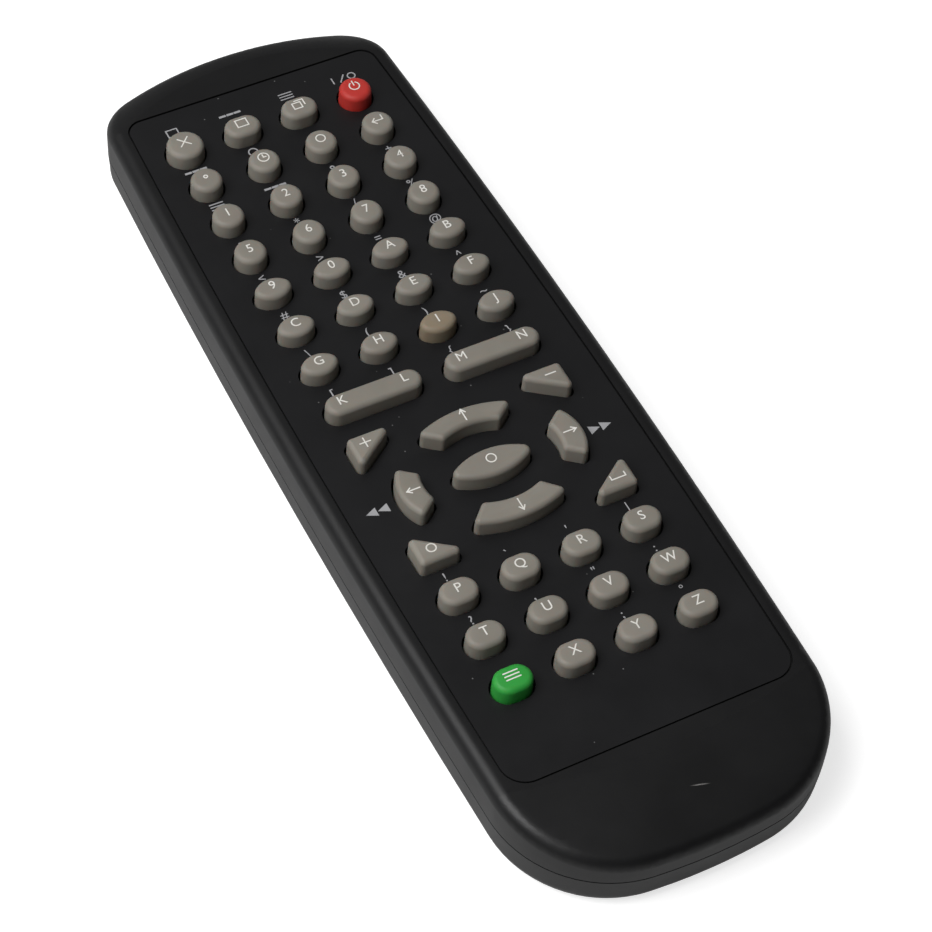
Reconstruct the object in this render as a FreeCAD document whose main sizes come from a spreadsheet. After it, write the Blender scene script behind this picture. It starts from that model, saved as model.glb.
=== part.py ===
import FreeCAD, Part
import math
import os
from functools import partial

Vector = FreeCAD.Vector
UP = Vector(0, 0, 1)

# Infrared remote control, about 195 x 64 x 19 mm.
# X runs across, +Y to the infrared end, +Z out of the key side.
# The origin is under the middle of the case, on the surface that it rests on.

# Driving dimensions, in millimetres and degrees
SIZES = [
    ("case_length", 195.1, "head to tail"),
    ("case_width", 64.1, "across the widest place"),
    ("case_top", 16.5, "height of the flat face"),
    ("waist_place", -17.0, "where along the case it is widest"),
    ("side_radius", 2170.0, "long curve of each side"),
    ("head_radius", 82.0, "curve of the infrared end"),
    ("tail_radius", 110.0, "curve of the tail end"),
    ("head_corner", 10.0, "corner radius at the infrared end"),
    ("tail_corner", 22.0, "corner radius at the tail"),
    ("seam_height", 8.5, "where the two shells meet"),
    ("wall", 1.5, "wall of both shells"),
    ("shoulder_round", 2.6, "rounded upper edge"),
    ("base_round", 4.0, "rounded lower edge"),
    ("base_draft", 3.0, "lower shell leans in by this angle"),
    ("brow_radius", 50.0, "crease of the brow, seen from above"),
    ("brow_in", 4.85, "crease of the brow in from the head end"),
    ("brow_slope", 8.0, "angle at which the brow starts"),
    ("brow_curve", 14.0, "radius of the brow in section"),
    ("brow_reach", 12.0, "length of the brow cut past its crease"),
    ("brow_swing", 100.0, "angle that the brow cut turns through"),
    ("dome_radius", 116.0, "crease of the tail dome, seen from above"),
    ("dome_in", 17.55, "crease of the dome in from the tail end"),
    ("dome_slope", 4.0, "angle at which the dome starts"),
    ("dome_curve", 75.0, "radius of the dome in section"),
    ("dome_reach", 25.0, "length of the dome cut past its crease"),
    ("dome_swing", 60.0, "angle that the dome cut turns through"),
    ("crease_round", 3.0, "soft edge at the brow and dome creases"),
    ("lip_height", 1.3, "lip of the lower shell"),
    ("lip_thickness", 0.65, "lip of the lower shell"),
    ("lip_gap", 0.15, "clearance round the lip"),
    ("reveal", 0.3, "shadow line at the seam, square in section"),
    ("plate_inset", 3.7, "faceplate edge in from the case side"),
    ("plate_head_in", 11.35, "faceplate in from the head end"),
    ("plate_tail_in", 21.25, "faceplate in from the tail end"),
    ("plate_head_corner", 3.0, "upper corners of the faceplate"),
    ("plate_tail_corner", 4.5, "lower corners of the faceplate"),
    ("plate_thickness", 0.5, "faceplate sheet"),
    ("plate_sink", 0.1, "faceplate below the flat face"),
    ("plate_gap", 0.35, "groove round the faceplate"),
    ("column_pitch", 12.0, "key columns"),
    ("row_pitch", 9.84, "key rows"),
    ("top_row_in", 22.65, "first key row in from the head end"),
    ("lower_row_in", 136.45, "first row below the pad, in from the head end"),
    ("pad_in", 114.3, "centre of the direction pad, in from the head end"),
    ("keypad_shift", -0.4, "key field off the centre line"),
    ("key_top", 19.4, "height of the key tops"),
    ("key_round", 0.8, "rounded key edge"),
    ("key_draft", 1.5, "keys narrow upwards by this angle"),
    ("key_travel_room", 0.85, "contact pill above the board"),
    ("pill_thickness", 0.25, "contact pill"),
    ("pill_radius", 1.5, "contact pill"),
    ("small_key", 6.3, "small round key, across"),
    ("large_key", 7.4, "large round key, across"),
    ("power_key", 6.5, "power key, across"),
    ("oval_length", 7.3, "oval key"),
    ("oval_width", 5.25, "oval key"),
    ("oval_end", 1.9, "end radius of the oval key"),
    ("wide_length", 7.4, "oblong key"),
    ("wide_width", 5.5, "oblong key"),
    ("bar_length", 19.1, "rocking bar key"),
    ("bar_width", 4.9, "rocking bar key"),
    ("bar_pill_place", 7.0, "contact pill from the middle of the bar"),
    ("centre_length", 15.3, "middle key of the pad"),
    ("centre_width", 6.3, "middle key of the pad"),
    ("centre_end", 1.4, "end radius of the middle key"),
    ("corner_key_out", 21.55, "outer side of a corner key from the pad centre"),
    ("corner_key_up", 15.15, "outer end of a corner key from the pad centre"),
    ("corner_key_length", 7.85, "corner key along X"),
    ("corner_key_height", 6.15, "corner key along Y"),
    ("corner_key_round", 1.0, "corners of a corner key"),
    ("corner_pill_inset", 2.4, "contact pill from the outer sides of a corner key"),
    ("arrow_round", 1.0, "corners of an arrow key"),
    ("long_arrow_out", 13.05, "outer edge of the upper arrow from the pad centre"),
    ("long_arrow_in", 8.8, "inner edge of the upper arrow from the pad centre"),
    ("lower_arrow_in", 8.3, "inner edge of the lower arrow from the pad centre"),
    ("long_arrow_outer_radius", 21.8, "outer curve of the upper arrow"),
    ("long_arrow_inner_radius", 13.6, "inner curve of the upper arrow"),
    ("long_arrow_outer_half", 7.85, "outer corner centre of the upper arrow"),
    ("long_arrow_inner_half", 5.5, "inner corner centre of the upper arrow"),
    ("side_arrow_out", 18.3, "outer edge of a side arrow from the pad centre"),
    ("side_arrow_in", 13.2, "inner edge of a side arrow from the pad centre"),
    ("side_arrow_outer_radius", 9.3, "outer curve of a side arrow"),
    ("side_arrow_inner_radius", 8.6, "inner curve of a side arrow"),
    ("side_arrow_outer_half", 4.4, "outer corner centre of a side arrow"),
    ("side_arrow_inner_half", 2.7, "inner corner centre of a side arrow"),
    ("plate_window_gap", 0.4, "faceplate window round a key"),
    ("shell_window_gap", 0.5, "shell window round a key"),
    ("mat_gap", 0.3, "mat opening round a key"),
    ("board_bottom", 12.4, "height of the board's lower face"),
    ("board_thickness", 1.0, "circuit board"),
    ("board_head_in", 13.55, "board in from the head end"),
    ("board_tail_in", 29.55, "board in from the tail end"),
    ("board_width", 52.0, "circuit board"),
    ("board_corner", 4.0, "corners of the board"),
    ("mat_thickness", 1.5, "key mat sheet"),
    ("mat_margin", 0.5, "mat edge inside the board edge"),
    ("post_radius", 2.2, "board post"),
    ("pin_radius", 1.0, "locating pin on a post"),
    ("pin_gap", 0.2, "clearance round a pin"),
    ("pin_height", 1.9, "pin above the board's lower face"),
    ("post_out", 24.0, "posts from the centre line"),
    ("post_head_in", 27.55, "posts near the head, in from that end"),
    ("post_middle_in", 86.55, "posts near the middle, in from the head end"),
    ("post_tail_in", 151.25, "posts near the tail, in from the head end"),
    ("cover_gap", 0.2, "clearance round the battery cover"),
    ("tongue_width", 1.0, "tongue along each side of the cover"),
    ("tongue_thickness", 0.5, "tongue along each side of the cover"),
    ("tongue_height", 0.9, "underside of the tongue"),
    ("tongue_gap", 0.15, "clearance round the tongue"),
    ("rail_width", 2.4, "rail beside the cover"),
    ("rail_height", 2.4, "top of the rail"),
    ("grip_width", 0.9, "grip groove in the cover"),
    ("grip_length", 15.0, "grip groove in the cover"),
    ("grip_depth", 0.4, "grip groove in the cover"),
    ("grip_pitch", 2.2, "grip grooves in the cover"),
    ("grip_in", 11.55, "grip groove nearest the tail, in from that end"),
    ("cell_length", 44.5, "AAA cell over its nub"),
    ("cell_radius", 5.25, "AAA cell"),
    ("cell_gap", 0.4, "between the two cells"),
    ("cell_side_gap", 0.5, "cell to the bay wall"),
    ("nub_radius", 1.9, "positive nub of a cell"),
    ("nub_length", 1.0, "positive nub of a cell"),
    ("contact_thickness", 0.4, "battery contact sheet"),
    ("contact_width", 9.4, "battery contact sheet"),
    ("contact_rise", 0.6, "battery contact above the bay floor"),
    ("spring_room", 2.6, "length taken by a battery spring"),
    ("spring_radius", 2.4, "centre line of a battery spring"),
    ("spring_wire", 0.25, "radius of the spring wire"),
    ("spring_turns", 3.0, "turns of a battery spring"),
    ("spring_end", 0.3, "middle of the end wire from what it rests on"),
    ("bay_in", 4.05, "cell bay in from the tail end"),
    ("bay_wall", 1.2, "walls of the cell bay"),
    ("bay_height", 10.8, "top of the bay side walls"),
    ("led_radius", 2.5, "infrared LED"),
    ("led_flange", 0.4, "flange of the LED beyond its body"),
    ("led_length", 8.6, "infrared LED"),
    ("led_sink", 0.4, "LED tip inside the head end"),
    ("led_gap", 0.2, "hole round the LED"),
    ("led_lead", 0.5, "square LED lead"),
    ("led_lead_pitch", 2.54, "between the LED leads"),
    ("led_flange_length", 1.0, "flange of the LED"),
    ("led_solder_in", 16.55, "LED leads meet the board, in from the head end"),
    ("chip_length", 17.9, "controller chip"),
    ("chip_width", 7.5, "controller chip"),
    ("chip_height", 2.3, "controller chip"),
    ("chip_in", 67.55, "controller chip in from the head end"),
    ("leg_length", 1.4, "legs of the chip"),
    ("leg_width", 0.4, "legs of the chip"),
    ("leg_pitch", 1.27, "legs of the chip"),
    ("resonator_width", 7.0, "ceramic resonator"),
    ("resonator_depth", 3.0, "ceramic resonator"),
    ("resonator_height", 5.0, "ceramic resonator"),
    ("resonator_in", 51.55, "ceramic resonator in from the head end"),
    ("capacitor_radius", 2.5, "capacitor, laid flat"),
    ("capacitor_length", 7.0, "capacitor, laid flat"),
    ("capacitor_out", -11.0, "capacitor across the board"),
    ("capacitor_in", 137.55, "capacitor in from the head end"),
    ("driver_in", 31.55, "driver transistor and resistors in from the head end"),
    ("transistor_width", 4.5, "driver transistor"),
    ("transistor_depth", 3.6, "driver transistor"),
    ("transistor_height", 4.5, "driver transistor"),
    ("transistor_out", 8.0, "driver transistor across the board"),
    ("resistor_width", 1.6, "chip resistors"),
    ("resistor_length", 3.2, "chip resistors"),
    ("resistor_height", 0.6, "chip resistors"),
    ("resistor_out", -8.0, "first chip resistor across the board"),
    ("resistor_pitch", 4.0, "between the chip resistors"),
]

doc = FreeCAD.newDocument("remote_control")
sheet = doc.addObject("Spreadsheet::Sheet", "Sizes")
for row, (alias, value, meaning) in enumerate(SIZES, start=1):
    sheet.set("A%d" % row, alias)
    sheet.set("B%d" % row, str(value))
    sheet.set("C%d" % row, meaning)
    sheet.setAlias("B%d" % row, alias)
doc.recompute()


def size(alias):
    return float(sheet.get(alias))


def bind(thing, name, formula):
    """Ties a property to the sheet; words in braces are sheet aliases."""
    thing.setExpression(name, formula.replace("{", "Sizes.").replace("}", ""))


# Places worked out from the driving dimensions
HEAD = size("case_length") / 2
TAIL = -size("case_length") / 2
TOP = size("case_top")
SEAM = size("seam_height")
FLOOR = size("wall")
WAIST = size("waist_place")
CELL_OUT = size("cell_gap") / 2 + size("cell_radius")
BAY_HALF = CELL_OUT + size("cell_radius") + size("cell_side_gap")
BAY_TAIL = TAIL + size("bay_in")
BAY_LENGTH = 2 * size("contact_thickness") + size("spring_room") + size("cell_length")
BAY_HEAD = BAY_TAIL + BAY_LENGTH
COVER_HALF = BAY_HALF - size("cover_gap")
BOARD_HEAD = HEAD - size("board_head_in")
BOARD_TAIL = TAIL + size("board_tail_in")
LEGS_PER_SIDE = 10
RESISTORS = 3
GRIPS = 5

# How far cuts that leave the case run past it
OUTSIDE = 40.0

# The same heights and places as formulas for the bound properties
HEAD_END = "{case_length} / 2"
BAY_TAIL_FORMULA = "{bay_in} - {case_length} / 2"
BAY_HEAD_FORMULA = BAY_TAIL_FORMULA + " + 2 * {contact_thickness} + {spring_room} + {cell_length}"
CELL_SIDE = "({cell_gap} / 2 + {cell_radius})"
CELL_LEVEL = "{wall} + {cover_gap} + {cell_radius}"
PILL_LEVEL = "{board_bottom} + {board_thickness} + {key_travel_room}"
FOOT_LEVEL = PILL_LEVEL + " + {pill_thickness}"


# Outlines: round corners joined by straight or arched sides
def toward(start, end, distance):
    """Point at a distance from start in the direction of end."""
    step = end - start
    return start + step * (distance / step.Length)


def loop(corners, sides, grow=0.0):
    """Closed outline, anticlockwise, all of it moved outwards by grow.

    Each corner is a centre and a radius. Side number i runs from corner i to the next one.
    It is None where it is straight, or else the centre and radius of its arc.
    """
    count = len(corners)
    ends = []
    for index in range(count):
        first, first_radius = corners[index]
        last, last_radius = corners[(index + 1) % count]
        side = sides[index]
        if side is None:
            run = (last - first).normalize()
            outward = Vector(run.y, -run.x, 0)
            start = first + outward * (first_radius + grow)
            end = last + outward * (last_radius + grow)
            ends.append((start, None, end))
            continue
        centre, radius = side
        bulges = (last - first).cross(centre - first).z > 0
        reach = radius + grow if bulges else radius - grow
        start = toward(centre, first, reach)
        end = toward(centre, last, reach)
        middle = toward(centre, (start + end) * 0.5, reach)
        ends.append((start, middle, end))

    edges = []
    for index in range(count):
        start, middle, end = ends[index]
        if middle is None:
            if (end - start).Length > 1e-6:
                edges.append(Part.LineSegment(start, end))
        else:
            edges.append(Part.Arc(start, middle, end))
        corner = corners[(index + 1) % count][0]
        after = ends[(index + 1) % count][0]
        edges.append(turn_round(corner, end, after))
    return edges


def turn_round(centre, start, end):
    """Anticlockwise arc about a centre."""
    first = math.atan2(start.y - centre.y, start.x - centre.x)
    last = math.atan2(end.y - centre.y, end.x - centre.x)
    sweep = (last - first) % (2 * math.pi)
    radius = (start - centre).Length
    half = first + sweep / 2
    middle = centre + Vector(math.cos(half), math.sin(half), 0) * radius
    return Part.Arc(start, middle, end)


def meeting_point(first, first_radius, second, second_radius, side):
    """Where two circles cross, on the chosen side of the line between their centres."""
    gap = (second - first).Length
    along = (gap**2 + first_radius**2 - second_radius**2) / (2 * gap)
    off = math.sqrt(first_radius**2 - along**2)
    run = (second - first).normalize()
    return first + run * along + Vector(-run.y, run.x, 0) * (off * side)


def case_outline(inset):
    """The case seen from above, moved inwards by inset."""
    side_radius = size("side_radius")
    right = Vector(size("case_width") / 2 - side_radius, WAIST, 0)
    left = Vector(-right.x, WAIST, 0)
    head = Vector(0, HEAD - size("head_radius"), 0)
    tail = Vector(0, TAIL + size("tail_radius"), 0)
    upper = size("head_corner")
    lower = size("tail_corner")
    upper_right = meeting_point(
        right, side_radius - upper, head, size("head_radius") - upper, 1
    )
    if upper_right.x < 0:
        upper_right = meeting_point(
            right, side_radius - upper, head, size("head_radius") - upper, -1
        )
    lower_right = meeting_point(
        right, side_radius - lower, tail, size("tail_radius") - lower, -1
    )
    upper_left = Vector(-upper_right.x, upper_right.y, 0)
    lower_left = Vector(-lower_right.x, lower_right.y, 0)
    corners = [(lower_right, lower), (upper_right, upper), (upper_left, upper), (lower_left, lower)]
    sides = [
        (right, side_radius),
        (head, size("head_radius")),
        (left, side_radius),
        (tail, size("tail_radius")),
    ]
    return loop(corners, sides, -inset)


def plate_outline(grow):
    """The faceplate: sides that follow the case, with straight upper and lower edges."""
    radius = size("side_radius") - size("plate_inset")
    right = Vector(size("case_width") / 2 - size("side_radius"), WAIST, 0)
    left = Vector(-right.x, WAIST, 0)

    def corner(edge, corner_radius, inward):
        level = edge + inward * corner_radius
        reach = math.sqrt((radius - corner_radius) ** 2 - (level - WAIST) ** 2)
        return Vector(right.x + reach, level, 0)

    upper = size("plate_head_corner")
    lower = size("plate_tail_corner")
    upper_right = corner(HEAD - size("plate_head_in"), upper, -1)
    lower_right = corner(TAIL + size("plate_tail_in"), lower, 1)
    upper_left = Vector(-upper_right.x, upper_right.y, 0)
    lower_left = Vector(-lower_right.x, lower_right.y, 0)
    corners = [(lower_right, lower), (upper_right, upper), (upper_left, upper), (lower_left, lower)]
    return loop(corners, [(right, radius), None, (left, radius), None], grow)


def rectangle(left, bottom, right, top, radius=0.0, grow=0.0):
    """Upright rectangle, with round corners where a radius is given."""
    if radius:
        places = [
            Vector(left + radius, bottom + radius, 0),
            Vector(right - radius, bottom + radius, 0),
            Vector(right - radius, top - radius, 0),
            Vector(left + radius, top - radius, 0),
        ]
        return loop([(place, radius) for place in places], [None] * 4, grow)
    places = [
        Vector(left - grow, bottom - grow, 0),
        Vector(right + grow, bottom - grow, 0),
        Vector(right + grow, top + grow, 0),
        Vector(left - grow, top + grow, 0),
    ]
    return [Part.LineSegment(places[i], places[(i + 1) % 4]) for i in range(4)]


def circle(radius, grow=0.0):
    return [Part.Circle(Vector(0, 0, 0), UP, radius + grow)]


def oblong(length, width, grow):
    """Straight sides and half-round ends."""
    middle = Vector((length - width) / 2, 0, 0)
    return loop([(middle, width / 2), (-middle, width / 2)], [None, None], grow)


def oval(length, width, end, grow):
    """Round ends joined by two arched sides that meet them smoothly."""
    centre = length / 2 - end
    half = width / 2
    radius = (half**2 + centre**2 - end**2) / (2 * (half - end))
    corners = [(Vector(centre, 0, 0), end), (Vector(-centre, 0, 0), end)]
    sides = [(Vector(0, half - radius, 0), radius), (Vector(0, radius - half, 0), radius)]
    return loop(corners, sides, grow)


def mirrored(corners, sides, across, along):
    """The same corners and sides turned over in X or Y, kept anticlockwise."""
    flip = [(Vector(p.x * across, p.y * along, 0), r) for p, r in corners]
    turned = [s and (Vector(s[0].x * across, s[0].y * along, 0), s[1]) for s in sides]
    if across * along > 0:
        return flip, turned
    flip.reverse()
    turned = turned[:-1][::-1] + turned[-1:]
    return flip, turned


def corner_key(across, along, grow):
    """Three-cornered key; its square corner points away from the pad."""
    radius = size("corner_key_round")
    far_x = size("corner_key_out") - radius
    far_y = size("corner_key_up") - radius
    near_x = far_x - (size("corner_key_length") - 2 * radius)
    near_y = far_y - (size("corner_key_height") - 2 * radius)
    corners = [
        (Vector(far_x, near_y, 0), radius),
        (Vector(far_x, far_y, 0), radius),
        (Vector(near_x, far_y, 0), radius),
    ]
    return loop(*mirrored(corners, [None] * 3, across, along), grow)


def long_arrow_key(along, grow):
    """Curved key above or below the middle of the pad."""
    radius = size("arrow_round")
    outer_radius = size("long_arrow_outer_radius")
    inner_radius = size("long_arrow_inner_radius")
    outer = Vector(0, size("long_arrow_out") - outer_radius, 0)
    inner_edge = size("long_arrow_in") if along > 0 else size("lower_arrow_in")
    inner = Vector(0, inner_edge - inner_radius, 0)
    wide = size("long_arrow_outer_half")
    narrow = size("long_arrow_inner_half")
    high = outer.y + math.sqrt((outer_radius - radius) ** 2 - wide**2)
    low = inner.y + math.sqrt((inner_radius + radius) ** 2 - narrow**2)
    places = [(narrow, low), (wide, high), (-wide, high), (-narrow, low)]
    corners = [(Vector(x, y, 0), radius) for x, y in places]
    sides = [None, (outer, outer_radius), None, (inner, inner_radius)]
    return loop(*mirrored(corners, sides, 1, along), grow)


def side_arrow_key(across, grow):
    """Curved key to the right or left of the middle of the pad."""
    radius = size("arrow_round")
    outer_radius = size("side_arrow_outer_radius")
    inner_radius = size("side_arrow_inner_radius")
    outer = Vector(size("side_arrow_out") - outer_radius, 0, 0)
    inner = Vector(size("side_arrow_in") - inner_radius, 0, 0)
    tall = size("side_arrow_outer_half")
    short = size("side_arrow_inner_half")
    far = outer.x + math.sqrt((outer_radius - radius) ** 2 - tall**2)
    near = inner.x + math.sqrt((inner_radius + radius) ** 2 - short**2)
    places = [(near, -short), (far, -tall), (far, tall), (near, short)]
    corners = [(Vector(x, y, 0), radius) for x, y in places]
    sides = [None, (outer, outer_radius), None, (inner, inner_radius)]
    return loop(*mirrored(corners, sides, across, 1), grow)


# The keys: name, outline, column, first row of their block, row in it, contact pills
def row_of_keys(names, outline, block, row):
    """Keys side by side from the left column; an empty name leaves its column free."""
    keys = []
    for column, name in enumerate(names):
        if name:
            keys.append((name, outline, column - 1.5, block, row, [(0, 0)]))
    return keys


def small_round(grow):
    return circle(size("small_key") / 2, grow)


def large_round(grow):
    return circle(size("large_key") / 2, grow)


def power_round(grow):
    return circle(size("power_key") / 2, grow)


def oval_shape(grow):
    return oval(size("oval_length"), size("oval_width"), size("oval_end"), grow)


def wide_shape(grow):
    return oblong(size("wide_length"), size("wide_width"), grow)


def bar_shape(grow):
    return oblong(size("bar_length"), size("bar_width"), grow)


def centre_shape(grow):
    return oval(size("centre_length"), size("centre_width"), size("centre_end"), grow)


def all_keys():
    """Every key with its outline, its place, and the places of its contact pills."""
    keys = []
    keys += row_of_keys(["key_escape"], large_round, "top_row_in", 0)
    keys += row_of_keys(["", "key_program", "key_copy"], wide_shape, "top_row_in", 0)
    keys += row_of_keys(["", "", "", "key_power"], power_round, "top_row_in", 0)
    second_row = ["key_method", "key_time", "key_clear", "key_enter"]
    keys += row_of_keys(second_row, small_round, "top_row_in", 1)
    keys += row_of_keys(["key_1", "key_2", "key_3", "key_4"], small_round, "top_row_in", 2)
    keys += row_of_keys(["key_5", "key_6", "key_7", "key_8"], small_round, "top_row_in", 3)
    keys += row_of_keys(["key_9", "key_0", "key_a", "key_b"], oval_shape, "top_row_in", 4)
    keys += row_of_keys(["key_c", "key_d", "key_e", "key_f"], oval_shape, "top_row_in", 5)
    keys += row_of_keys(["key_g", "key_h", "key_i", "key_j"], oval_shape, "top_row_in", 6)
    keys += row_of_keys(["key_p", "key_q", "key_r", "key_s"], wide_shape, "lower_row_in", 0)
    keys += row_of_keys(["key_t", "key_u", "key_v", "key_w"], wide_shape, "lower_row_in", 1)
    keys += row_of_keys(["key_alternate", "key_x", "key_y", "key_z"], wide_shape, "lower_row_in", 2)

    bar_pills = [(-size("bar_pill_place"), 0), (size("bar_pill_place"), 0)]
    keys.append(("key_k_l", bar_shape, -1, "top_row_in", 7, bar_pills))
    keys.append(("key_m_n", bar_shape, 1, "top_row_in", 7, bar_pills))

    # The keys of the pad are drawn about the centre of the pad
    pad_keys = []
    corner_x = size("corner_key_out") - size("corner_pill_inset")
    corner_y = size("corner_key_up") - size("corner_pill_inset")
    corner_names = {
        "key_insert": (-1, 1),
        "key_delete": (1, 1),
        "key_o": (-1, -1),
        "key_space": (1, -1),
    }
    for name, (across, along) in corner_names.items():
        outline = partial(corner_key, across, along)
        pad_keys.append((name, outline, [(corner_x * across, corner_y * along)]))
    long_y = (size("long_arrow_out") + size("long_arrow_in")) / 2
    for name, along in (("key_previous", 1), ("key_next", -1)):
        pad_keys.append((name, partial(long_arrow_key, along), [(0, long_y * along)]))
    side_x = (size("side_arrow_out") + size("side_arrow_in")) / 2
    for name, across in (("key_left", -1), ("key_right", 1)):
        pad_keys.append((name, partial(side_arrow_key, across), [(side_x * across, 0)]))
    pad_keys.append(("key_capitals", centre_shape, [(0, 0)]))
    for name, outline, pills in pad_keys:
        keys.append((name, outline, 0, "pad_in", 0, pills))
    return keys


KEYS = all_keys()


def key_place(column, block, row):
    """Where the outline of a key is centred."""
    across = size("keypad_shift") + size("column_pitch") * column
    along = HEAD - size(block) - size("row_pitch") * row
    return Vector(across, along, 0)


def key_windows(grow):
    """The outlines of all keys at their places, for windows and openings."""
    edges = []
    for name, outline, column, block, row, pills in KEYS:
        for edge in outline(grow):
            edge.translate(key_place(column, block, row))
            edges.append(edge)
    return edges


# Modelling steps shared by the bodies
def new_body(label):
    body = doc.addObject("PartDesign::Body", label)
    body.Label = label
    return body


def sketch_on(body, name, role, edges, height=None, along=None):
    """Sketch on one of the body's own origin planes, moved off it by a formula."""
    sketch = body.newObject("Sketcher::SketchObject", name)
    plane = [p for p in body.Origin.OriginFeatures if p.Role == role][0]
    sketch.AttachmentSupport = (plane, [""])
    sketch.MapMode = "FlatFace"
    if height:
        bind(sketch, "AttachmentOffset.Base.z", height)
    if along:
        bind(sketch, "AttachmentOffset.Base.x", along)
    sketch.addGeometry(edges, False)
    return sketch


def pad(body, name, sketch, length, downwards=False, taper=None):
    feature = body.newObject("PartDesign::Pad", name)
    feature.Profile = sketch
    bind(feature, "Length", length)
    feature.Reversed = downwards
    if taper:
        bind(feature, "TaperAngle", taper)
    doc.recompute()
    return feature


def pocket(body, name, sketch, length, upwards=False, taper=None):
    """Cut from the sketch downwards, or upwards; it must take something away."""
    before = body.Shape.Volume
    feature = body.newObject("PartDesign::Pocket", name)
    feature.Profile = sketch
    bind(feature, "Length", length)
    feature.Reversed = upwards
    if taper:
        bind(feature, "TaperAngle", taper)
    doc.recompute()
    if not body.Shape.Volume < before:
        raise ValueError(name + " cuts nothing")
    return feature


def groove(body, name, sketch, angle):
    """Cut turned about the upright axis of the sketch, half to each side of it."""
    before = body.Shape.Volume
    feature = body.newObject("PartDesign::Groove", name)
    feature.Profile = sketch
    feature.ReferenceAxis = (sketch, ["V_Axis"])
    bind(feature, "Angle", angle)
    feature.Midplane = True
    doc.recompute()
    if not body.Shape.Volume < before:
        raise ValueError(name + " cuts nothing")
    return feature


def flat_face(shape, height):
    """Name of the largest level face at a height."""
    best = None
    for number, face in enumerate(shape.Faces, start=1):
        box = face.BoundBox
        if abs(box.ZMin - height) < 1e-4 and abs(box.ZMax - height) < 1e-4:
            if best is None or face.Area > best[1]:
                best = ("Face%d" % number, face.Area)
    return best[0]


def fillet(body, name, base, parts, radius):
    feature = body.newObject("PartDesign::Fillet", name)
    feature.Base = (base, parts)
    bind(feature, "Radius", radius)
    doc.recompute()
    return feature


def hollow(body, name, base, face, thickness):
    """Walls left inside the form, open at the given face."""
    feature = body.newObject("PartDesign::Thickness", name)
    feature.Base = (base, [face])
    bind(feature, "Value", thickness)
    feature.Reversed = True
    feature.Mode = "Skin"
    feature.Join = "Intersection"
    doc.recompute()
    return feature


def falling_profile(name, side):
    """Section of the brow's or dome's cut: it turns down at the crease, then falls ever faster.

    The crease lies its radius away from the upright axis, and side tells which way it falls.
    """
    start = size(name + "_radius")
    curve = size(name + "_curve")
    reach = size(name + "_reach")
    crease = size("crease_round")
    angle = math.radians(size(name + "_slope"))
    near = Vector(start, TOP - crease, 0)
    far = near - Vector(math.sin(angle), math.cos(angle), 0) * (curve - crease)
    last = math.asin((start + reach - far.x) / curve)
    places = [
        near + Vector(0, crease, 0),
        near + Vector(math.sin(angle / 2), math.cos(angle / 2), 0) * crease,
    ]
    for turn in (angle, (angle + last) / 2, last):
        places.append(far + Vector(math.sin(turn), math.cos(turn), 0) * curve)
    above = TOP + size("wall")
    places += [Vector(places[4].x, above, 0), Vector(start, above, 0)]
    places = [Vector(p.x * side, p.y, 0) for p in places]
    return [
        Part.Arc(places[0], places[1], places[2]),
        Part.Arc(places[2], places[3], places[4]),
        Part.LineSegment(places[4], places[5]),
        Part.LineSegment(places[5], places[6]),
        Part.LineSegment(places[6], places[0]),
    ]


def outer_rim(shape):
    """Names of the upper edges where the top of the form meets its side walls."""
    wire = Part.Wire(Part.sortEdges([e.toShape() for e in case_outline(0.0)])[0])
    names = []
    for number, edge in enumerate(shape.Edges, start=1):
        middle = edge.valueAt((edge.FirstParameter + edge.LastParameter) / 2)
        points = [vertex.Point for vertex in edge.Vertexes] + [middle]
        upright = edge.BoundBox.XLength < 1e-3 and edge.BoundBox.YLength < 1e-3
        high = min(point.z for point in points) > SEAM + 1e-3
        away = max(wire.distToShape(Part.Vertex(p.x, p.y, 0))[0] for p in points)
        if high and not upright and away < 1e-3:
            names.append("Edge%d" % number)
    return names


def led_hole(body):
    """Hole for the LED through the head end, on the seam."""
    edges = circle(size("led_radius") + size("led_gap"))
    edges[0].translate(Vector(0, SEAM, 0))
    start = "{led_sink} + {led_length} + {led_flange} - {case_length} / 2"
    sketch = sketch_on(body, body.Label + "_led_sketch", "XZ_Plane", edges, start)
    pocket(body, body.Label + "_led_hole", sketch, "{led_length} * 2")


# The upper shell
def make_upper_shell():
    body = new_body("upper_shell")
    sketch = sketch_on(body, "upper_outline", "XY_Plane", case_outline(0.0), "{seam_height}")
    pad(body, "upper_form", sketch, "{case_top} - {seam_height}")

    brow = falling_profile("brow", 1)
    sketch = sketch_on(
        body, "brow_section", "YZ_Plane", brow, None, HEAD_END + " - {brow_in} - {brow_radius}"
    )
    groove(body, "brow", sketch, "{brow_swing}")
    dome = falling_profile("dome", -1)
    sketch = sketch_on(
        body, "dome_section", "YZ_Plane", dome, None, "{dome_in} - {case_length} / 2 + {dome_radius}"
    )
    form = groove(body, "dome", sketch, "{dome_swing}")

    form = fillet(body, "shoulder", form, outer_rim(form.Shape), "{shoulder_round}")
    form = hollow(body, "upper_walls", form, flat_face(form.Shape, SEAM), "{wall}")

    edges = plate_outline(size("plate_gap"))
    sketch = sketch_on(body, "plate_bed_outline", "XY_Plane", edges, "{case_top}")
    pocket(body, "plate_bed", sketch, "{plate_thickness} + {plate_sink}")
    edges = key_windows(size("shell_window_gap"))
    sketch = sketch_on(body, "shell_windows_outline", "XY_Plane", edges, "{case_top}")
    pocket(body, "shell_windows", sketch, "{wall} * 2")

    inset = size("wall") - size("lip_thickness") - size("lip_gap")
    sketch = sketch_on(
        body, "lip_seat_outline", "XY_Plane", case_outline(inset), "{seam_height}"
    )
    pocket(body, "lip_seat", sketch, "{lip_height} + {lip_gap}", True)
    led_hole(body)
    return body


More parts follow.
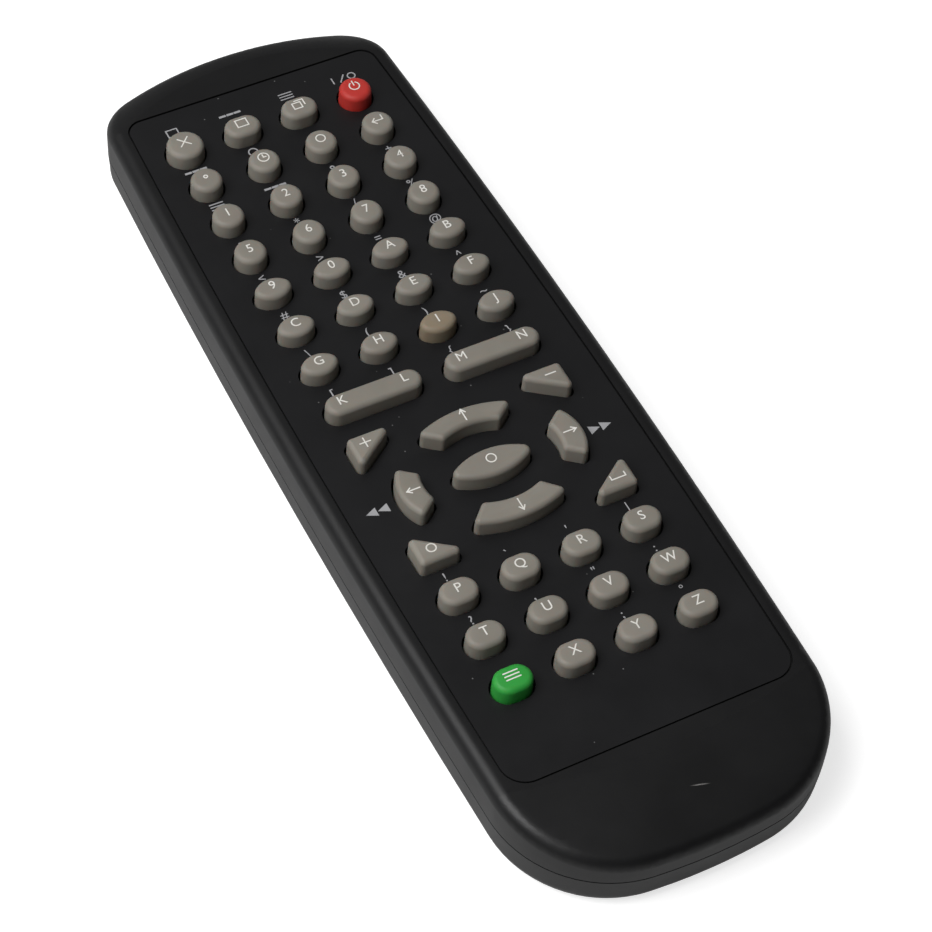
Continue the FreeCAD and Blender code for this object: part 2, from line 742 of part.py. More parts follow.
# The outer form of the lower half, which the lower shell and the battery cover share
def lower_form(body):
    name = body.Label
    sketch = sketch_on(body, name + "_outline", "XY_Plane", case_outline(0.0), "{seam_height}")
    form = pad(body, name + "_form", sketch, "{seam_height}", True, "-{base_draft}")
    base = flat_face(form.Shape, 0.0)
    return fillet(body, name + "_base_edge", form, [base], "{base_round}")


def post_places():
    places = []
    for level in ("post_head_in", "post_middle_in", "post_tail_in"):
        for side in (-1, 1):
            places.append(Vector(size("post_out") * side, HEAD - size(level), 0))
    return places


def circles_at(places, radius):
    edges = []
    for place in places:
        ring = Part.Circle(place, UP, radius)
        edges.append(ring)
    return edges


def both_sides(left, bottom, right, top):
    """A rectangle and its mirror image in X."""
    return rectangle(left, bottom, right, top) + rectangle(-right, bottom, -left, top)


# The lower shell
def make_lower_shell():
    body = new_body("lower_shell")
    lower_form(body)
    edges = case_outline(size("wall"))
    sketch = sketch_on(body, "cavity_outline", "XY_Plane", edges, "{seam_height}")
    form = pocket(body, "cavity", sketch, "{seam_height} - {wall}", False, "-{base_draft}")
    floor = flat_face(form.Shape, FLOOR)
    fillet(body, "cavity_edge", form, [floor], "{base_round} - {wall}")

    outer = case_outline(size("wall") - size("lip_thickness"))
    inner = case_outline(size("wall"))
    sketch = sketch_on(body, "lip_outline", "XY_Plane", outer + inner, "{seam_height}")
    pad(body, "lip", sketch, "{lip_height}")
    ring = case_outline(-size("wall")) + case_outline(size("reveal"))
    sketch = sketch_on(body, "reveal_outline", "XY_Plane", ring, "{seam_height}")
    pocket(body, "reveal_line", sketch, "{reveal}")

    rail = BAY_HALF + size("rail_width")
    wall = BAY_HALF + size("bay_wall")
    head = BAY_HEAD + size("bay_wall")
    tail = BAY_TAIL - size("bay_wall")
    edges = both_sides(BAY_HALF, tail, rail, head)
    sketch = sketch_on(body, "rail_outline", "XY_Plane", edges, "{wall} / 2")
    pad(body, "rails", sketch, "{rail_height} - {wall} / 2")
    edges = both_sides(BAY_HALF, tail, wall, head)
    sketch = sketch_on(body, "bay_side_outline", "XY_Plane", edges, "{wall} / 2")
    pad(body, "bay_sides", sketch, "{bay_height} - {wall} / 2")
    edges = rectangle(-wall, tail, wall, BAY_TAIL)
    sketch = sketch_on(body, "bay_tail_outline", "XY_Plane", edges, "{wall} / 2")
    pad(body, "bay_tail_wall", sketch, "{bay_height} - {wall} / 2")
    edges = rectangle(-wall, BAY_HEAD, wall, head)
    sketch = sketch_on(body, "bay_head_outline", "XY_Plane", edges, "{wall} / 2")
    pad(body, "bay_head_wall", sketch, "{board_bottom} - {wall} / 2")

    edges = circles_at(post_places(), size("post_radius"))
    sketch = sketch_on(body, "post_outline", "XY_Plane", edges, "{wall} / 2")
    pad(body, "posts", sketch, "{board_bottom} - {wall} / 2")
    edges = circles_at(post_places(), size("pin_radius"))
    sketch = sketch_on(body, "pin_outline", "XY_Plane", edges, "{wall}")
    pad(body, "pins", sketch, "{board_bottom} + {pin_height} - {wall}")

    edges = rectangle(-BAY_HALF, TAIL - OUTSIDE, BAY_HALF, BAY_HEAD)
    sketch = sketch_on(body, "bay_opening_outline", "XY_Plane", edges)
    pocket(body, "bay_opening", sketch, "{wall} + {cover_gap}", True)

    inner = BAY_HALF - size("cover_gap")
    outer = COVER_HALF + size("tongue_width") + size("cover_gap")
    low = size("tongue_height") - size("tongue_gap")
    high = size("tongue_height") + size("tongue_thickness") + size("tongue_gap")
    edges = both_sides(inner, low, outer, high)
    sketch = sketch_on(body, "groove_section", "XZ_Plane", edges, "{case_length} / 2 + {wall}")
    length = "{case_length} / 2 + {wall} + %s" % BAY_HEAD_FORMULA
    pocket(body, "rail_grooves", sketch, length)
    led_hole(body)
    return body


# The battery cover, which slides off over the tail
def make_battery_cover():
    body = new_body("battery_cover")
    lower_form(body)
    far = size("case_width")
    head = BAY_HEAD - size("cover_gap")
    window = rectangle(-COVER_HALF, TAIL - OUTSIDE, COVER_HALF, head)
    edges = rectangle(-far, TAIL - 2 * OUTSIDE, far, HEAD + OUTSIDE) + window
    sketch = sketch_on(body, "cover_outline", "XY_Plane", edges)
    pocket(body, "cover_sides", sketch, "{case_top}", True)
    edges = rectangle(-far, TAIL - OUTSIDE, far, HEAD)
    sketch = sketch_on(body, "cover_inside_outline", "XY_Plane", edges, "{wall}")
    pocket(body, "cover_inside", sketch, "{case_top}", True)

    edges = both_sides(
        COVER_HALF - size("cover_gap"), BAY_TAIL, COVER_HALF + size("tongue_width"), head
    )
    sketch = sketch_on(body, "tongue_outline", "XY_Plane", edges, "{tongue_height}")
    pad(body, "tongues", sketch, "{tongue_thickness}")

    edges = oblong(size("grip_length"), size("grip_width"), 0.0)
    for edge in edges:
        edge.translate(Vector(0, TAIL + size("grip_in"), 0))
    sketch = sketch_on(body, "grip_outline", "XY_Plane", edges)
    grip = pocket(body, "grip", sketch, "{grip_depth}", True)
    pattern = body.newObject("PartDesign::LinearPattern", "grips")
    pattern.Originals = [grip]
    pattern.Direction = (sketch, ["V_Axis"])
    pattern.Occurrences = GRIPS
    bind(pattern, "Length", "{grip_pitch} * %d" % (GRIPS - 1))
    body.Tip = pattern
    doc.recompute()
    return body


# The faceplate and the key mat
def make_faceplate():
    body = new_body("faceplate")
    level = "{case_top} - {plate_sink} - {plate_thickness}"
    edges = plate_outline(0.0) + key_windows(size("plate_window_gap"))
    sketch = sketch_on(body, "plate_outline", "XY_Plane", edges, level)
    pad(body, "plate", sketch, "{plate_thickness}")
    return body


def board_outline(margin):
    half = size("board_width") / 2
    return rectangle(
        -half, BOARD_TAIL, half, BOARD_HEAD, size("board_corner"), -margin
    )


def make_key_mat():
    body = new_body("key_mat")
    edges = board_outline(size("mat_margin")) + key_windows(size("mat_gap"))
    edges += circles_at(post_places(), size("pin_radius") + size("pin_gap"))
    level = "{board_bottom} + {board_thickness}"
    sketch = sketch_on(body, "mat_outline", "XY_Plane", edges, level)
    pad(body, "mat", sketch, "{mat_thickness}")
    return body


# Simple solids at a place given by formulas
def set_place(thing, x="0", y="0", z="0"):
    for axis, formula in (("x", x), ("y", y), ("z", z)):
        bind(thing, "Placement.Base." + axis, formula)


def box(name, length, width, height, x, y, z):
    """Box whose place is the middle of its lower face."""
    thing = doc.addObject("Part::Box", name)
    bind(thing, "Length", length)
    bind(thing, "Width", width)
    bind(thing, "Height", height)
    set_place(thing, "%s - (%s) / 2" % (x, length), "%s - (%s) / 2" % (y, width), z)
    return thing


def cylinder(name, radius, height, x, y, z, along=False):
    """Upright cylinder, or one that lies along +Y from its place."""
    thing = doc.addObject("Part::Cylinder", name)
    if along:
        thing.Placement.Rotation = FreeCAD.Rotation(Vector(1, 0, 0), -90)
    bind(thing, "Radius", radius)
    bind(thing, "Height", height)
    set_place(thing, x, y, z)
    return thing


def fuse(name, things):
    joined = doc.addObject("Part::MultiFuse", name)
    joined.Shapes = things
    return joined


def group(label, things):
    """One sub-part of several separate solids."""
    whole = doc.addObject("Part::Compound", label)
    whole.Label = label
    whole.Links = things
    return whole


# One key: its rubber body and the contact pills under it
def make_key(name, outline, column, block, row, pills):
    body = new_body(name + "_rubber")
    sketch = sketch_on(body, name + "_outline", "XY_Plane", outline(0.0), FOOT_LEVEL)
    height = "{key_top} - (%s)" % FOOT_LEVEL
    form = pad(body, name + "_form", sketch, height, False, "-{key_draft}")
    top = flat_face(form.Shape, size("key_top"))
    fillet(body, name + "_edge", form, [top], "{key_round}")
    pieces = [body]
    for number, (x, y) in enumerate(pills, start=1):
        pill = cylinder(
            "%s_pill_%d" % (name, number),
            "{pill_radius}",
            "{pill_thickness}",
            "%.6f" % x,
            "%.6f" % y,
            PILL_LEVEL,
        )
        pieces.append(pill)
    key = group(name, pieces)
    across = "{keypad_shift} + {column_pitch} * %.1f" % column
    along = "%s - {%s} - {row_pitch} * %d" % (HEAD_END, block, row)
    set_place(key, across, along)
    return key


# The circuit board with the parts under it
def under_board(name, width, depth, height, x, y):
    """Box that hangs from the underside of the board; width, depth and height are aliases."""
    return box(name, width, depth, height, x, y, "{board_bottom} - " + height)


def make_circuit_board():
    board = new_body("board")
    edges = board_outline(0.0)
    edges += circles_at(post_places(), size("pin_radius") + size("pin_gap"))
    sketch = sketch_on(board, "board_outline", "XY_Plane", edges, "{board_bottom}")
    pad(board, "board_sheet", sketch, "{board_thickness}")
    chip = HEAD_END + " - {chip_in}"
    pieces = [board]
    pieces.append(
        under_board("chip", "{chip_width}", "{chip_length}", "{chip_height}", "0", chip)
    )
    for side in (-1, 1):
        for number in range(LEGS_PER_SIDE):
            step = number - (LEGS_PER_SIDE - 1) / 2
            leg = under_board(
                "chip_leg_%d_%d" % (side + 1, number),
                "{leg_length}",
                "{leg_width}",
                "{chip_height} / 2",
                "%d * ({chip_width} + {leg_length}) / 2" % side,
                "%s + {leg_pitch} * %.1f" % (chip, step),
            )
            pieces.append(leg)
    resonator = under_board(
        "resonator",
        "{resonator_width}",
        "{resonator_depth}",
        "{resonator_height}",
        "0",
        HEAD_END + " - {resonator_in}",
    )
    capacitor = cylinder(
        "capacitor",
        "{capacitor_radius}",
        "{capacitor_length}",
        "{capacitor_out}",
        HEAD_END + " - {capacitor_in}",
        "{board_bottom} - {capacitor_radius}",
        True,
    )
    transistor = under_board(
        "transistor",
        "{transistor_width}",
        "{transistor_depth}",
        "{transistor_height}",
        "{transistor_out}",
        HEAD_END + " - {driver_in}",
    )
    pieces += [resonator, capacitor, transistor]
    for number in range(RESISTORS):
        resistor = under_board(
            "resistor_%d" % number,
            "{resistor_width}",
            "{resistor_length}",
            "{resistor_height}",
            "{resistor_out} + {resistor_pitch} * %d" % number,
            HEAD_END + " - {driver_in}",
        )
        pieces.append(resistor)
    return group("circuit_board", pieces)


# The infrared LED in the head end, its leads bent up to the board
def make_infrared_led():
    tip = "{case_length} / 2 - {led_sink}"
    back = tip + " - {led_length}"
    solder = HEAD_END + " - {led_solder_in}"
    barrel = cylinder(
        "led_barrel", "{led_radius}", "{led_length} - {led_radius}", "0", back, "{seam_height}", True
    )
    dome = doc.addObject("Part::Sphere", "led_dome")
    bind(dome, "Radius", "{led_radius}")
    set_place(dome, "0", tip + " - {led_radius}", "{seam_height}")
    flange = cylinder(
        "led_rim",
        "{led_radius} + {led_flange}",
        "{led_flange_length}",
        "0",
        back,
        "{seam_height}",
        True,
    )
    pieces = [fuse("led_lens", [barrel, dome, flange])]
    for side in (-1, 1):
        x = "{led_lead_pitch} / 2 * %d" % side
        run = "(%s - (%s) + {led_lead} / 2)" % (back, solder)
        low = box(
            "led_run_%d" % (side + 1),
            "{led_lead}",
            run,
            "{led_lead}",
            x,
            "%s - %s / 2" % (back, run),
            "{seam_height} - {led_lead} / 2",
        )
        rise = box(
            "led_rise_%d" % (side + 1),
            "{led_lead}",
            "{led_lead}",
            "{board_bottom} - {seam_height} + {led_lead} / 2",
            x,
            solder,
            "{seam_height} - {led_lead} / 2",
        )
        pieces.append(fuse("led_wire_%d" % (side + 1), [low, rise]))
    return group("infrared_led", pieces)


# The two cells, laid head to tail
def make_cells():
    pieces = []
    can = "{cell_length} - {nub_length}"
    first = BAY_TAIL_FORMULA + " + {contact_thickness} + {spring_room}"
    body = cylinder("left_can", "{cell_radius}", can, "-" + CELL_SIDE, first, CELL_LEVEL, True)
    nub = cylinder(
        "left_nub",
        "{nub_radius}",
        "{nub_length}",
        "-" + CELL_SIDE,
        first + " + " + can,
        CELL_LEVEL,
        True,
    )
    pieces.append(fuse("left_cell", [body, nub]))
    first = BAY_TAIL_FORMULA + " + {contact_thickness}"
    nub = cylinder(
        "right_nub", "{nub_radius}", "{nub_length}", CELL_SIDE, first, CELL_LEVEL, True
    )
    body = cylinder(
        "right_can", "{cell_radius}", can, CELL_SIDE, first + " + {nub_length}", CELL_LEVEL, True
    )
    pieces.append(fuse("right_cell", [body, nub]))
    return group("aaa_cells", pieces)


# The battery contacts: a bridge at the tail, two plates at the head, two coil springs
def coil_spring(name, x, y):
    """Coil spring along +Y, from a round wire swept along a helix."""
    helix = doc.addObject("Part::Helix", name + "_helix")
    bind(helix, "Radius", "{spring_radius}")
    bind(helix, "Height", "{spring_room} - {spring_end} * 2")
    bind(helix, "Pitch", "({spring_room} - {spring_end} * 2) / {spring_turns}")
    wire = doc.addObject("Part::Circle", name + "_wire")
    wire.Placement.Rotation = FreeCAD.Rotation(Vector(1, 0, 0), 90)
    bind(wire, "Radius", "{spring_wire}")
    bind(wire, "Placement.Base.x", "{spring_radius}")
    sweep = doc.addObject("Part::Sweep", name)
    sweep.Sections = [wire]
    sweep.Spine = (helix, [])
    sweep.Solid = True
    sweep.Frenet = True
    sweep.Placement.Rotation = FreeCAD.Rotation(Vector(1, 0, 0), -90)
    set_place(sweep, x, y + " + {spring_end}", CELL_LEVEL)
    return sweep


def make_contacts():
    reach = CELL_SIDE + " + {cell_radius}"
    low = "{wall} + {contact_rise}"
    bridge = box(
        "bridge_contact",
        "2 * (%s)" % reach,
        "{contact_thickness}",
        "{contact_width}",
        "0",
        BAY_TAIL_FORMULA + " + {contact_thickness} / 2",
        low,
    )
    pieces = [bridge]
    for side in (-1, 1):
        plate = box(
            "head_contact_%d" % (side + 1),
            "{contact_width}",
            "{contact_thickness}",
            "{board_bottom} - (%s)" % low,
            "%d * %s" % (side, CELL_SIDE),
            "%s - {contact_thickness} / 2" % BAY_HEAD_FORMULA,
            low,
        )
        pieces.append(plate)
    start = BAY_TAIL_FORMULA + " + {contact_thickness}"
    pieces.append(coil_spring("tail_spring", "-" + CELL_SIDE, start))
    start = BAY_HEAD_FORMULA + " - {contact_thickness} - {spring_room}"
    pieces.append(coil_spring("head_spring", CELL_SIDE, start))
    return group("battery_contacts", pieces)


# Build everything
sub_parts = [
    make_upper_shell(),
    make_lower_shell(),
    make_battery_cover(),
    make_faceplate(),
    make_key_mat(),
    make_circuit_board(),
    make_infrared_led(),
    make_cells(),
    make_contacts(),
]
for key in KEYS:
    sub_parts.append(make_key(*key))
doc.recompute()


# Check every object and every sub-part, then write the files
def check_and_write(parts):
    failed = []
    for thing in doc.Objects:
        if "Invalid" in thing.State or "Error" in thing.State:
            failed.append(thing.Name)
    for part in parts:
        if part.Shape.isNull() or not part.Shape.isValid():
            failed.append(part.Label)
    if failed:
        raise ValueError("failed: " + ", ".join(failed))
    os.makedirs("parts", exist_ok=True)
    for part in parts:
        part.Shape.exportStep(os.path.join("parts", part.Label + ".step"))
        print(part.Label, len(part.Shape.Solids), "solids", round(part.Shape.Volume, 2), "mm3")


check_and_write(sub_parts)
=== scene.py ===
# %% [markdown]
# # An infrared remote control
#
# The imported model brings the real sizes: two black shells, a thin faceplate, a rubber
# key for every button, and the parts inside. This script gives them their surfaces. The
# rubber keys are made again here as soft rounded forms, and the white signs on them are thin
# layers of ink. Everything is in metres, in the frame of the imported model: X across, Y along
# the case to its infrared end, and Z up out of the keys.

# %% Load the frame
import bpy
import numpy as np
from functools import partial
from mathutils import Matrix, Vector


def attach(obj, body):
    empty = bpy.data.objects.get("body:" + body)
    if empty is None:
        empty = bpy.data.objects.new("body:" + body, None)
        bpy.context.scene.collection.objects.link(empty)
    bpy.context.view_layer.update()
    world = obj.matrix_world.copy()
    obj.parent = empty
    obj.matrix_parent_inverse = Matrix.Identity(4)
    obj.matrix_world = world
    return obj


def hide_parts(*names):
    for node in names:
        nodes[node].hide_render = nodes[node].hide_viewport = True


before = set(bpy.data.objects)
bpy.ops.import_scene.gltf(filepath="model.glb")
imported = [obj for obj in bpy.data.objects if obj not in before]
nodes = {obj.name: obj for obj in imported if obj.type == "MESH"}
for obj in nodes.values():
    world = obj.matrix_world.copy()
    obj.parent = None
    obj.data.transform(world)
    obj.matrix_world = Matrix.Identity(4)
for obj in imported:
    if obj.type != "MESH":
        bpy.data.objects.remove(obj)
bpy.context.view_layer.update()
MM = 0.001

# %% [markdown]
# ## Nodes and colours
#
# A material in Blender is a small network of nodes. One helper adds any node with its
# settings and links, so each network reads as a list of steps. Colours are written as sRGB
# hex values, as a paint program shows them. Cycles works in linear light, so one function
# undoes the sRGB curve.

# %% Node and colour helpers
def linear(code):
    """Linear RGBA of an sRGB hex value: c / 12.92 near black, ((c + 0.055) / 1.055)^2.4 above."""
    parts = np.array([int(code[i : i + 2], 16) / 255 for i in (1, 3, 5)])
    parts = np.where(parts <= 0.04045, parts / 12.92, ((parts + 0.055) / 1.055) ** 2.4)
    return (*parts.tolist(), 1.0)


def add_node(tree, kind, values=None, links=None, **settings):
    """Adds a node; values go on its sockets, and links come from other nodes' sockets."""
    node = tree.nodes.new(kind)
    for name, value in settings.items():
        setattr(node, name, value)
    for socket, value in (values or {}).items():
        node.inputs[socket].default_value = value
    for socket, source in (links or {}).items():
        tree.links.new(source, node.inputs[socket])
    return node


def new_material(name, values):
    """A material with its principled shader, and the place on the object in metres."""
    material = bpy.data.materials.new(name)
    material.use_nodes = True
    tree = material.node_tree
    shader = tree.nodes["Principled BSDF"]
    for socket, value in values.items():
        shader.inputs[socket].default_value = value
    place = add_node(tree, "ShaderNodeTexCoord")
    return material, tree, shader, place.outputs["Object"]


print("black ABS in linear light", [round(v, 4) for v in linear("#0e0e0f")[:3]])

# %% [markdown]
# ## Dust and scratches
#
# A used object has a few pale specks of dust, and here and there a short scratch. Dust is
# worked out from random points in space: near such a point there is a speck. A scratch
# is a ball of colour that a mapping squeezes to a thin sliver at one place. A pattern that
# repeats once every s millimetres needs a scale of 1000 / s, because the place is in metres.

# %% Dust and scratch
UNDER, OVER, MIXED = 6, 7, 2
DUST_EDGE, DUST_CORE = 0.035, 0.02


def dusted(spacing, color, tree, place, shade):
    """Specks of a colour about spacing millimetres apart, where a random point is near."""
    dust = add_node(
        tree,
        "ShaderNodeTexVoronoi",
        {"Scale": 1000 / spacing, "Randomness": 1.0},
        {"Vector": place},
    )
    speck = add_node(
        tree,
        "ShaderNodeMapRange",
        {"From Min": DUST_EDGE, "From Max": DUST_CORE},
        {"Value": dust.outputs["Distance"]},
    )
    mix = add_node(
        tree,
        "ShaderNodeMix",
        {OVER: linear(color)},
        {"Factor": speck.outputs["Result"], UNDER: shade},
        data_type="RGBA",
    )
    return mix.outputs[MIXED]


def scratched(centre, half_sizes, degrees, color, tree, place, shade):
    """A sliver of a colour: a ball at centre, stretched to its half sizes and turned."""
    sliver = add_node(
        tree,
        "ShaderNodeMapping",
        {
            "Location": Vector(centre) * MM,
            "Rotation": (0, 0, np.radians(degrees)),
            "Scale": Vector(half_sizes) * MM,
        },
        {"Vector": place},
        vector_type="TEXTURE",
    )
    inside = add_node(
        tree,
        "ShaderNodeTexGradient",
        None,
        {"Vector": sliver.outputs["Vector"]},
        gradient_type="SPHERICAL",
    )
    mix = add_node(
        tree,
        "ShaderNodeMix",
        {OVER: linear(color)},
        {"Factor": inside.outputs["Fac"], UNDER: shade},
        data_type="RGBA",
    )
    return mix.outputs[MIXED]


print("a speck of dust is up to", round(2 * DUST_EDGE * 4.5, 2), "mm across")

# %% [markdown]
# ## Moulded surfaces
#
# Moulded plastic and rubber are never one flat colour. A grain of a few tenths of a
# millimetre comes from the spark-eroded mould, and faint clouds a centimetre or two across
# come from handling. The clouds change the gloss as well as the colour, and the grain is a
# bump, a few thousandths of a millimetre high.

# %% Surface helper
CLOUD_MM = 16


def surface(name, color, clouds, grain_mm, grain_depth_mm, values, roughness, over=None):
    """Plastic, rubber or ink with cloudy colour and roughness, and a moulded grain.

    color and clouds are hex colours that a soft noise mixes. roughness is its lowest and
    highest value. over lays dust or a scratch on the colour.
    """
    material, tree, shader, place = new_material(name, values)
    cloud = add_node(
        tree,
        "ShaderNodeTexNoise",
        {"Scale": 1000 / CLOUD_MM, "Detail": 4.0, "Roughness": 0.6},
        {"Vector": place},
    )
    ramp = add_node(
        tree,
        "ShaderNodeMapRange",
        {"From Min": 0.35, "From Max": 0.65},
        {"Value": cloud.outputs["Fac"]},
    )
    tint = add_node(
        tree,
        "ShaderNodeMix",
        {UNDER: linear(color), OVER: linear(clouds)},
        {"Factor": ramp.outputs["Result"]},
        data_type="RGBA",
    )
    shade = tint.outputs[MIXED]
    if over:
        shade = over(tree, place, shade)
    tree.links.new(shade, shader.inputs["Base Color"])

    rough = add_node(
        tree,
        "ShaderNodeMapRange",
        {"From Min": 0.3, "From Max": 0.7, "To Min": roughness[0], "To Max": roughness[1]},
        {"Value": cloud.outputs["Fac"]},
    )
    tree.links.new(rough.outputs["Result"], shader.inputs["Roughness"])
    grain = add_node(
        tree,
        "ShaderNodeTexNoise",
        {"Scale": 1000 / grain_mm, "Detail": 2.0},
        {"Vector": place},
    )
    bump = add_node(
        tree,
        "ShaderNodeBump",
        {"Strength": 1.0, "Distance": grain_depth_mm * MM},
        {"Height": grain.outputs["Fac"]},
    )
    tree.links.new(bump.outputs["Normal"], shader.inputs["Normal"])
    return material


print("clouds of", CLOUD_MM, "mm need a noise scale of", 1000 / CLOUD_MM)

# %% [markdown]
# ## The plastics
#
# The case is ABS, moulded against a spark-eroded steel tool: a matt black with a soft wide
# highlight. ABS has an IOR of about 1.54. The faceplate is a thin polycarbonate sheet (IOR
# 1.58) printed black from above, a little smoother and cooler in colour, and it collects dust.
# The real grain is about 0.1 mm, too fine for this picture, so it is drawn at 0.35 mm. One
# short scratch lies on the domed tail.

# %% Case and faceplate materials
case_abs = surface(
    "black_abs_spark_eroded",
    "#0e0e0f",
    "#111112",
    grain_mm=0.35,
    grain_depth_mm=0.006,
    values={"IOR": 1.54, "Specular IOR Level": 0.32},
    roughness=(0.42, 0.48),
    over=partial(scratched, (1.1, -88.3, 15.1), (1.9, 0.16, 2.0), -15, "#8a8886"),
)
faceplate_film = surface(
    "black_printed_polycarbonate",
    "#0c0c0e",
    "#0f0f11",
    grain_mm=0.3,
    grain_depth_mm=0.004,
    values={"IOR": 1.58, "Specular IOR Level": 0.35},
    roughness=(0.38, 0.44),
    over=partial(dusted, 4.5, "#6a6a6a"),
)
print("plastics:", case_abs.name, faceplate_film.name)

# %% [markdown]
# ## The silicone rubber
#
# The keys are compression-moulded silicone rubber (IOR 1.41), coloured through and left
# matt. Light goes a little way into it, which softens the shadows on its small edges, so the
# shader gets a weak subsurface glow with a radius of about half a millimetre. The mould's
# fine blasting is drawn at 0.4 mm, as coarse as it needs to be to show. The pills under the keys
# are filled with carbon, which makes them black and lets them conduct.

# %% Key materials
SILICONE = {"IOR": 1.41, "Subsurface Weight": 0.15, "Subsurface Scale": 0.0006}
coloured_rubber = partial(
    surface, grain_mm=0.4, grain_depth_mm=0.008, values=SILICONE, roughness=(0.5, 0.6)
)
grey_rubber = coloured_rubber("grey_moulded_silicone", "#837e75", "#8a857c")
tan_rubber = coloured_rubber("tan_moulded_silicone", "#857865", "#8b7f6c")
red_rubber = coloured_rubber("red_moulded_silicone", "#b8302a", "#bf3831")
green_rubber = coloured_rubber("green_moulded_silicone", "#2f9a3c", "#37a244")
pill_carbon = surface("carbon_filled_silicone", "#101010", "#161616", 0.4, 0.004, {}, (0.6, 0.7))
mat_rubber = surface("black_moulded_silicone", "#1c1c1c", "#222222", 0.4, 0.006, {}, (0.55, 0.65))
print("rubbers:", [m.name for m in (grey_rubber, tan_rubber, red_rubber, green_rubber)])

# %% [markdown]
# ## The inks
#
# The signs on the keys are screen printed in white epoxy ink, and the small marks on the
# faceplate in a pale grey one. Ink has a faint mottle where the screen left less of it.

# %% Ink materials
screen_ink = partial(
    surface, grain_mm=0.25, grain_depth_mm=0.002, values={"IOR": 1.5}, roughness=(0.45, 0.55)
)
key_ink = screen_ink("white_screen_ink", "#e9e7e2", "#dedbd4")
plate_ink = screen_ink("grey_screen_ink", "#a9a9ab", "#9b9b9e")
print("inks:", key_ink.name, plate_ink.name)

# %% [markdown]
# ## The parts inside
#
# They are hidden once the case is shut, but the battery cover slides off, and a model may be
# taken apart later. Each still gets the finish of the real thing: laminate with green mask,
# nickel-plated spring steel, a printed sleeve on the cells, and tinted epoxy on the LED.

# %% Inner materials
board_mask = surface("solder_mask_on_laminate", "#1f5a35", "#235f3a", 0.5, 0.004, {}, (0.3, 0.4))
cell_sleeve = surface("printed_cell_sleeve", "#2f5d8c", "#32618f", 0.5, 0.002, {}, (0.25, 0.35))
nickel = surface(
    "nickel_plated_spring_steel", "#b9b4a8", "#c2bdb2", 0.3, 0.001, {"Metallic": 1.0}, (0.25, 0.35)
)
LED_EPOXY = {
    "Base Color": linear("#3a2a55"),
    "IOR": 1.55,
    "Roughness": 0.08,
    "Transmission Weight": 0.6,
}
led_epoxy = new_material("tinted_led_epoxy", LED_EPOXY)[0]
packed_finishes = {
    "faceplate": faceplate_film,
    "key_mat": mat_rubber,
    "circuit_board": board_mask,
    "aaa_cells": cell_sleeve,
    "battery_contacts": nickel,
    "infrared_led": led_epoxy,
}
for name, material in packed_finishes.items():
    nodes[name].data.materials.clear()
    nodes[name].data.materials.append(material)
print("packed nodes that stay, with a finish:", list(packed_finishes))

# %% [markdown]
# ## The shells
#
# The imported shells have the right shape, but their meshes are loose flat triangles, so light
# breaks at every facet. The same points, merged, can share their normals: then the shading
# runs smoothly over the shoulders and the domed tail, and stays crisp only at real edges.
# Large faces count for more in the shared normals, so flat areas stay flat.

# %% Mesh helpers
SHARP_EDGE = np.radians(32)


def new_piece(name, points, faces, materials, which=None):
    """A mesh object at the origin from points in metres; which gives each face's material."""
    mesh = bpy.data.meshes.new(name)
    mesh.from_pydata(points, [], faces)
    for material in materials:
        mesh.materials.append(material)
    if which is not None:
        mesh.polygons.foreach_set("material_index", np.asarray(which, dtype=np.int32))
    mesh.validate()
    piece = bpy.data.objects.new(name, mesh)
    bpy.context.scene.collection.objects.link(piece)
    return piece


def shade_smooth(piece, angle):
    """Smooth shading, kept sharp where two faces meet at more than an angle."""
    piece.data.polygons.foreach_set("use_smooth", np.ones(len(piece.data.polygons), dtype=bool))
    piece.data.set_sharp_from_angle(angle=angle)


print("edges sharper than", round(float(np.degrees(SHARP_EDGE))), "degrees stay crisp")


# %% Smooth copies of the shells
CELLS_PER_METRE = 1e6


def merged_copy(node):
    """Points in one cell of a micrometre become one; triangles that lose their area go."""
    mesh = nodes[node].data
    points = np.zeros(len(mesh.vertices) * 3)
    mesh.vertices.foreach_get("co", points)
    corners = np.zeros(len(mesh.loops), dtype=np.int64)
    mesh.loops.foreach_get("vertex_index", corners)
    cells = np.round(points.reshape(-1, 3) * CELLS_PER_METRE).astype(np.int64)
    kept, index = np.unique(cells, axis=0, return_inverse=True)
    triangles = index.reshape(-1)[corners].reshape(-1, 3)
    a, b, c = triangles.T
    triangles = triangles[(a != b) & (b != c) & (c != a)]
    return kept / CELLS_PER_METRE, triangles


def smooth_shell(node, body):
    """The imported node's shape with shared normals; it stands for the node."""
    points, triangles = merged_copy(node)
    piece = new_piece(node + "_moulded", points.tolist(), triangles.tolist(), [case_abs])
    shade_smooth(piece, SHARP_EDGE)
    weighted = piece.modifiers.new("area_normals", "WEIGHTED_NORMAL")
    weighted.keep_sharp = True
    weighted.weight = 80
    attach(piece, body)
    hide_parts(node)
    print(node, len(points), "points", len(triangles), "triangles")


smooth_shell("upper_shell", "case")
smooth_shell("lower_shell", "case")
smooth_shell("battery_cover", "battery_cover")

# %% [markdown]
# ## Outlines of the keys
#
# Seen from above, each key is a closed line of arcs and straight runs round a few corners.
# The outline function walks round the corners and gives the same number of points however
# far the line is moved in or out, so two outlines of one key can always be joined by quads.

# %% Outline of round corners
ARC_STEPS, CORNER_STEPS = 14, 12


def arc_points(centre, radius, first, last, steps):
    """Points c + r (cos a, sin a) for a from first up to, but not including, last."""
    angles = first + (last - first) * np.arange(steps) / steps
    return centre + radius * np.stack([np.cos(angles), np.sin(angles)], axis=1)


def bearing(centre, point):
    """Angle from the X axis to the line from centre to point."""
    return np.arctan2(point[1] - centre[1], point[0] - centre[0])


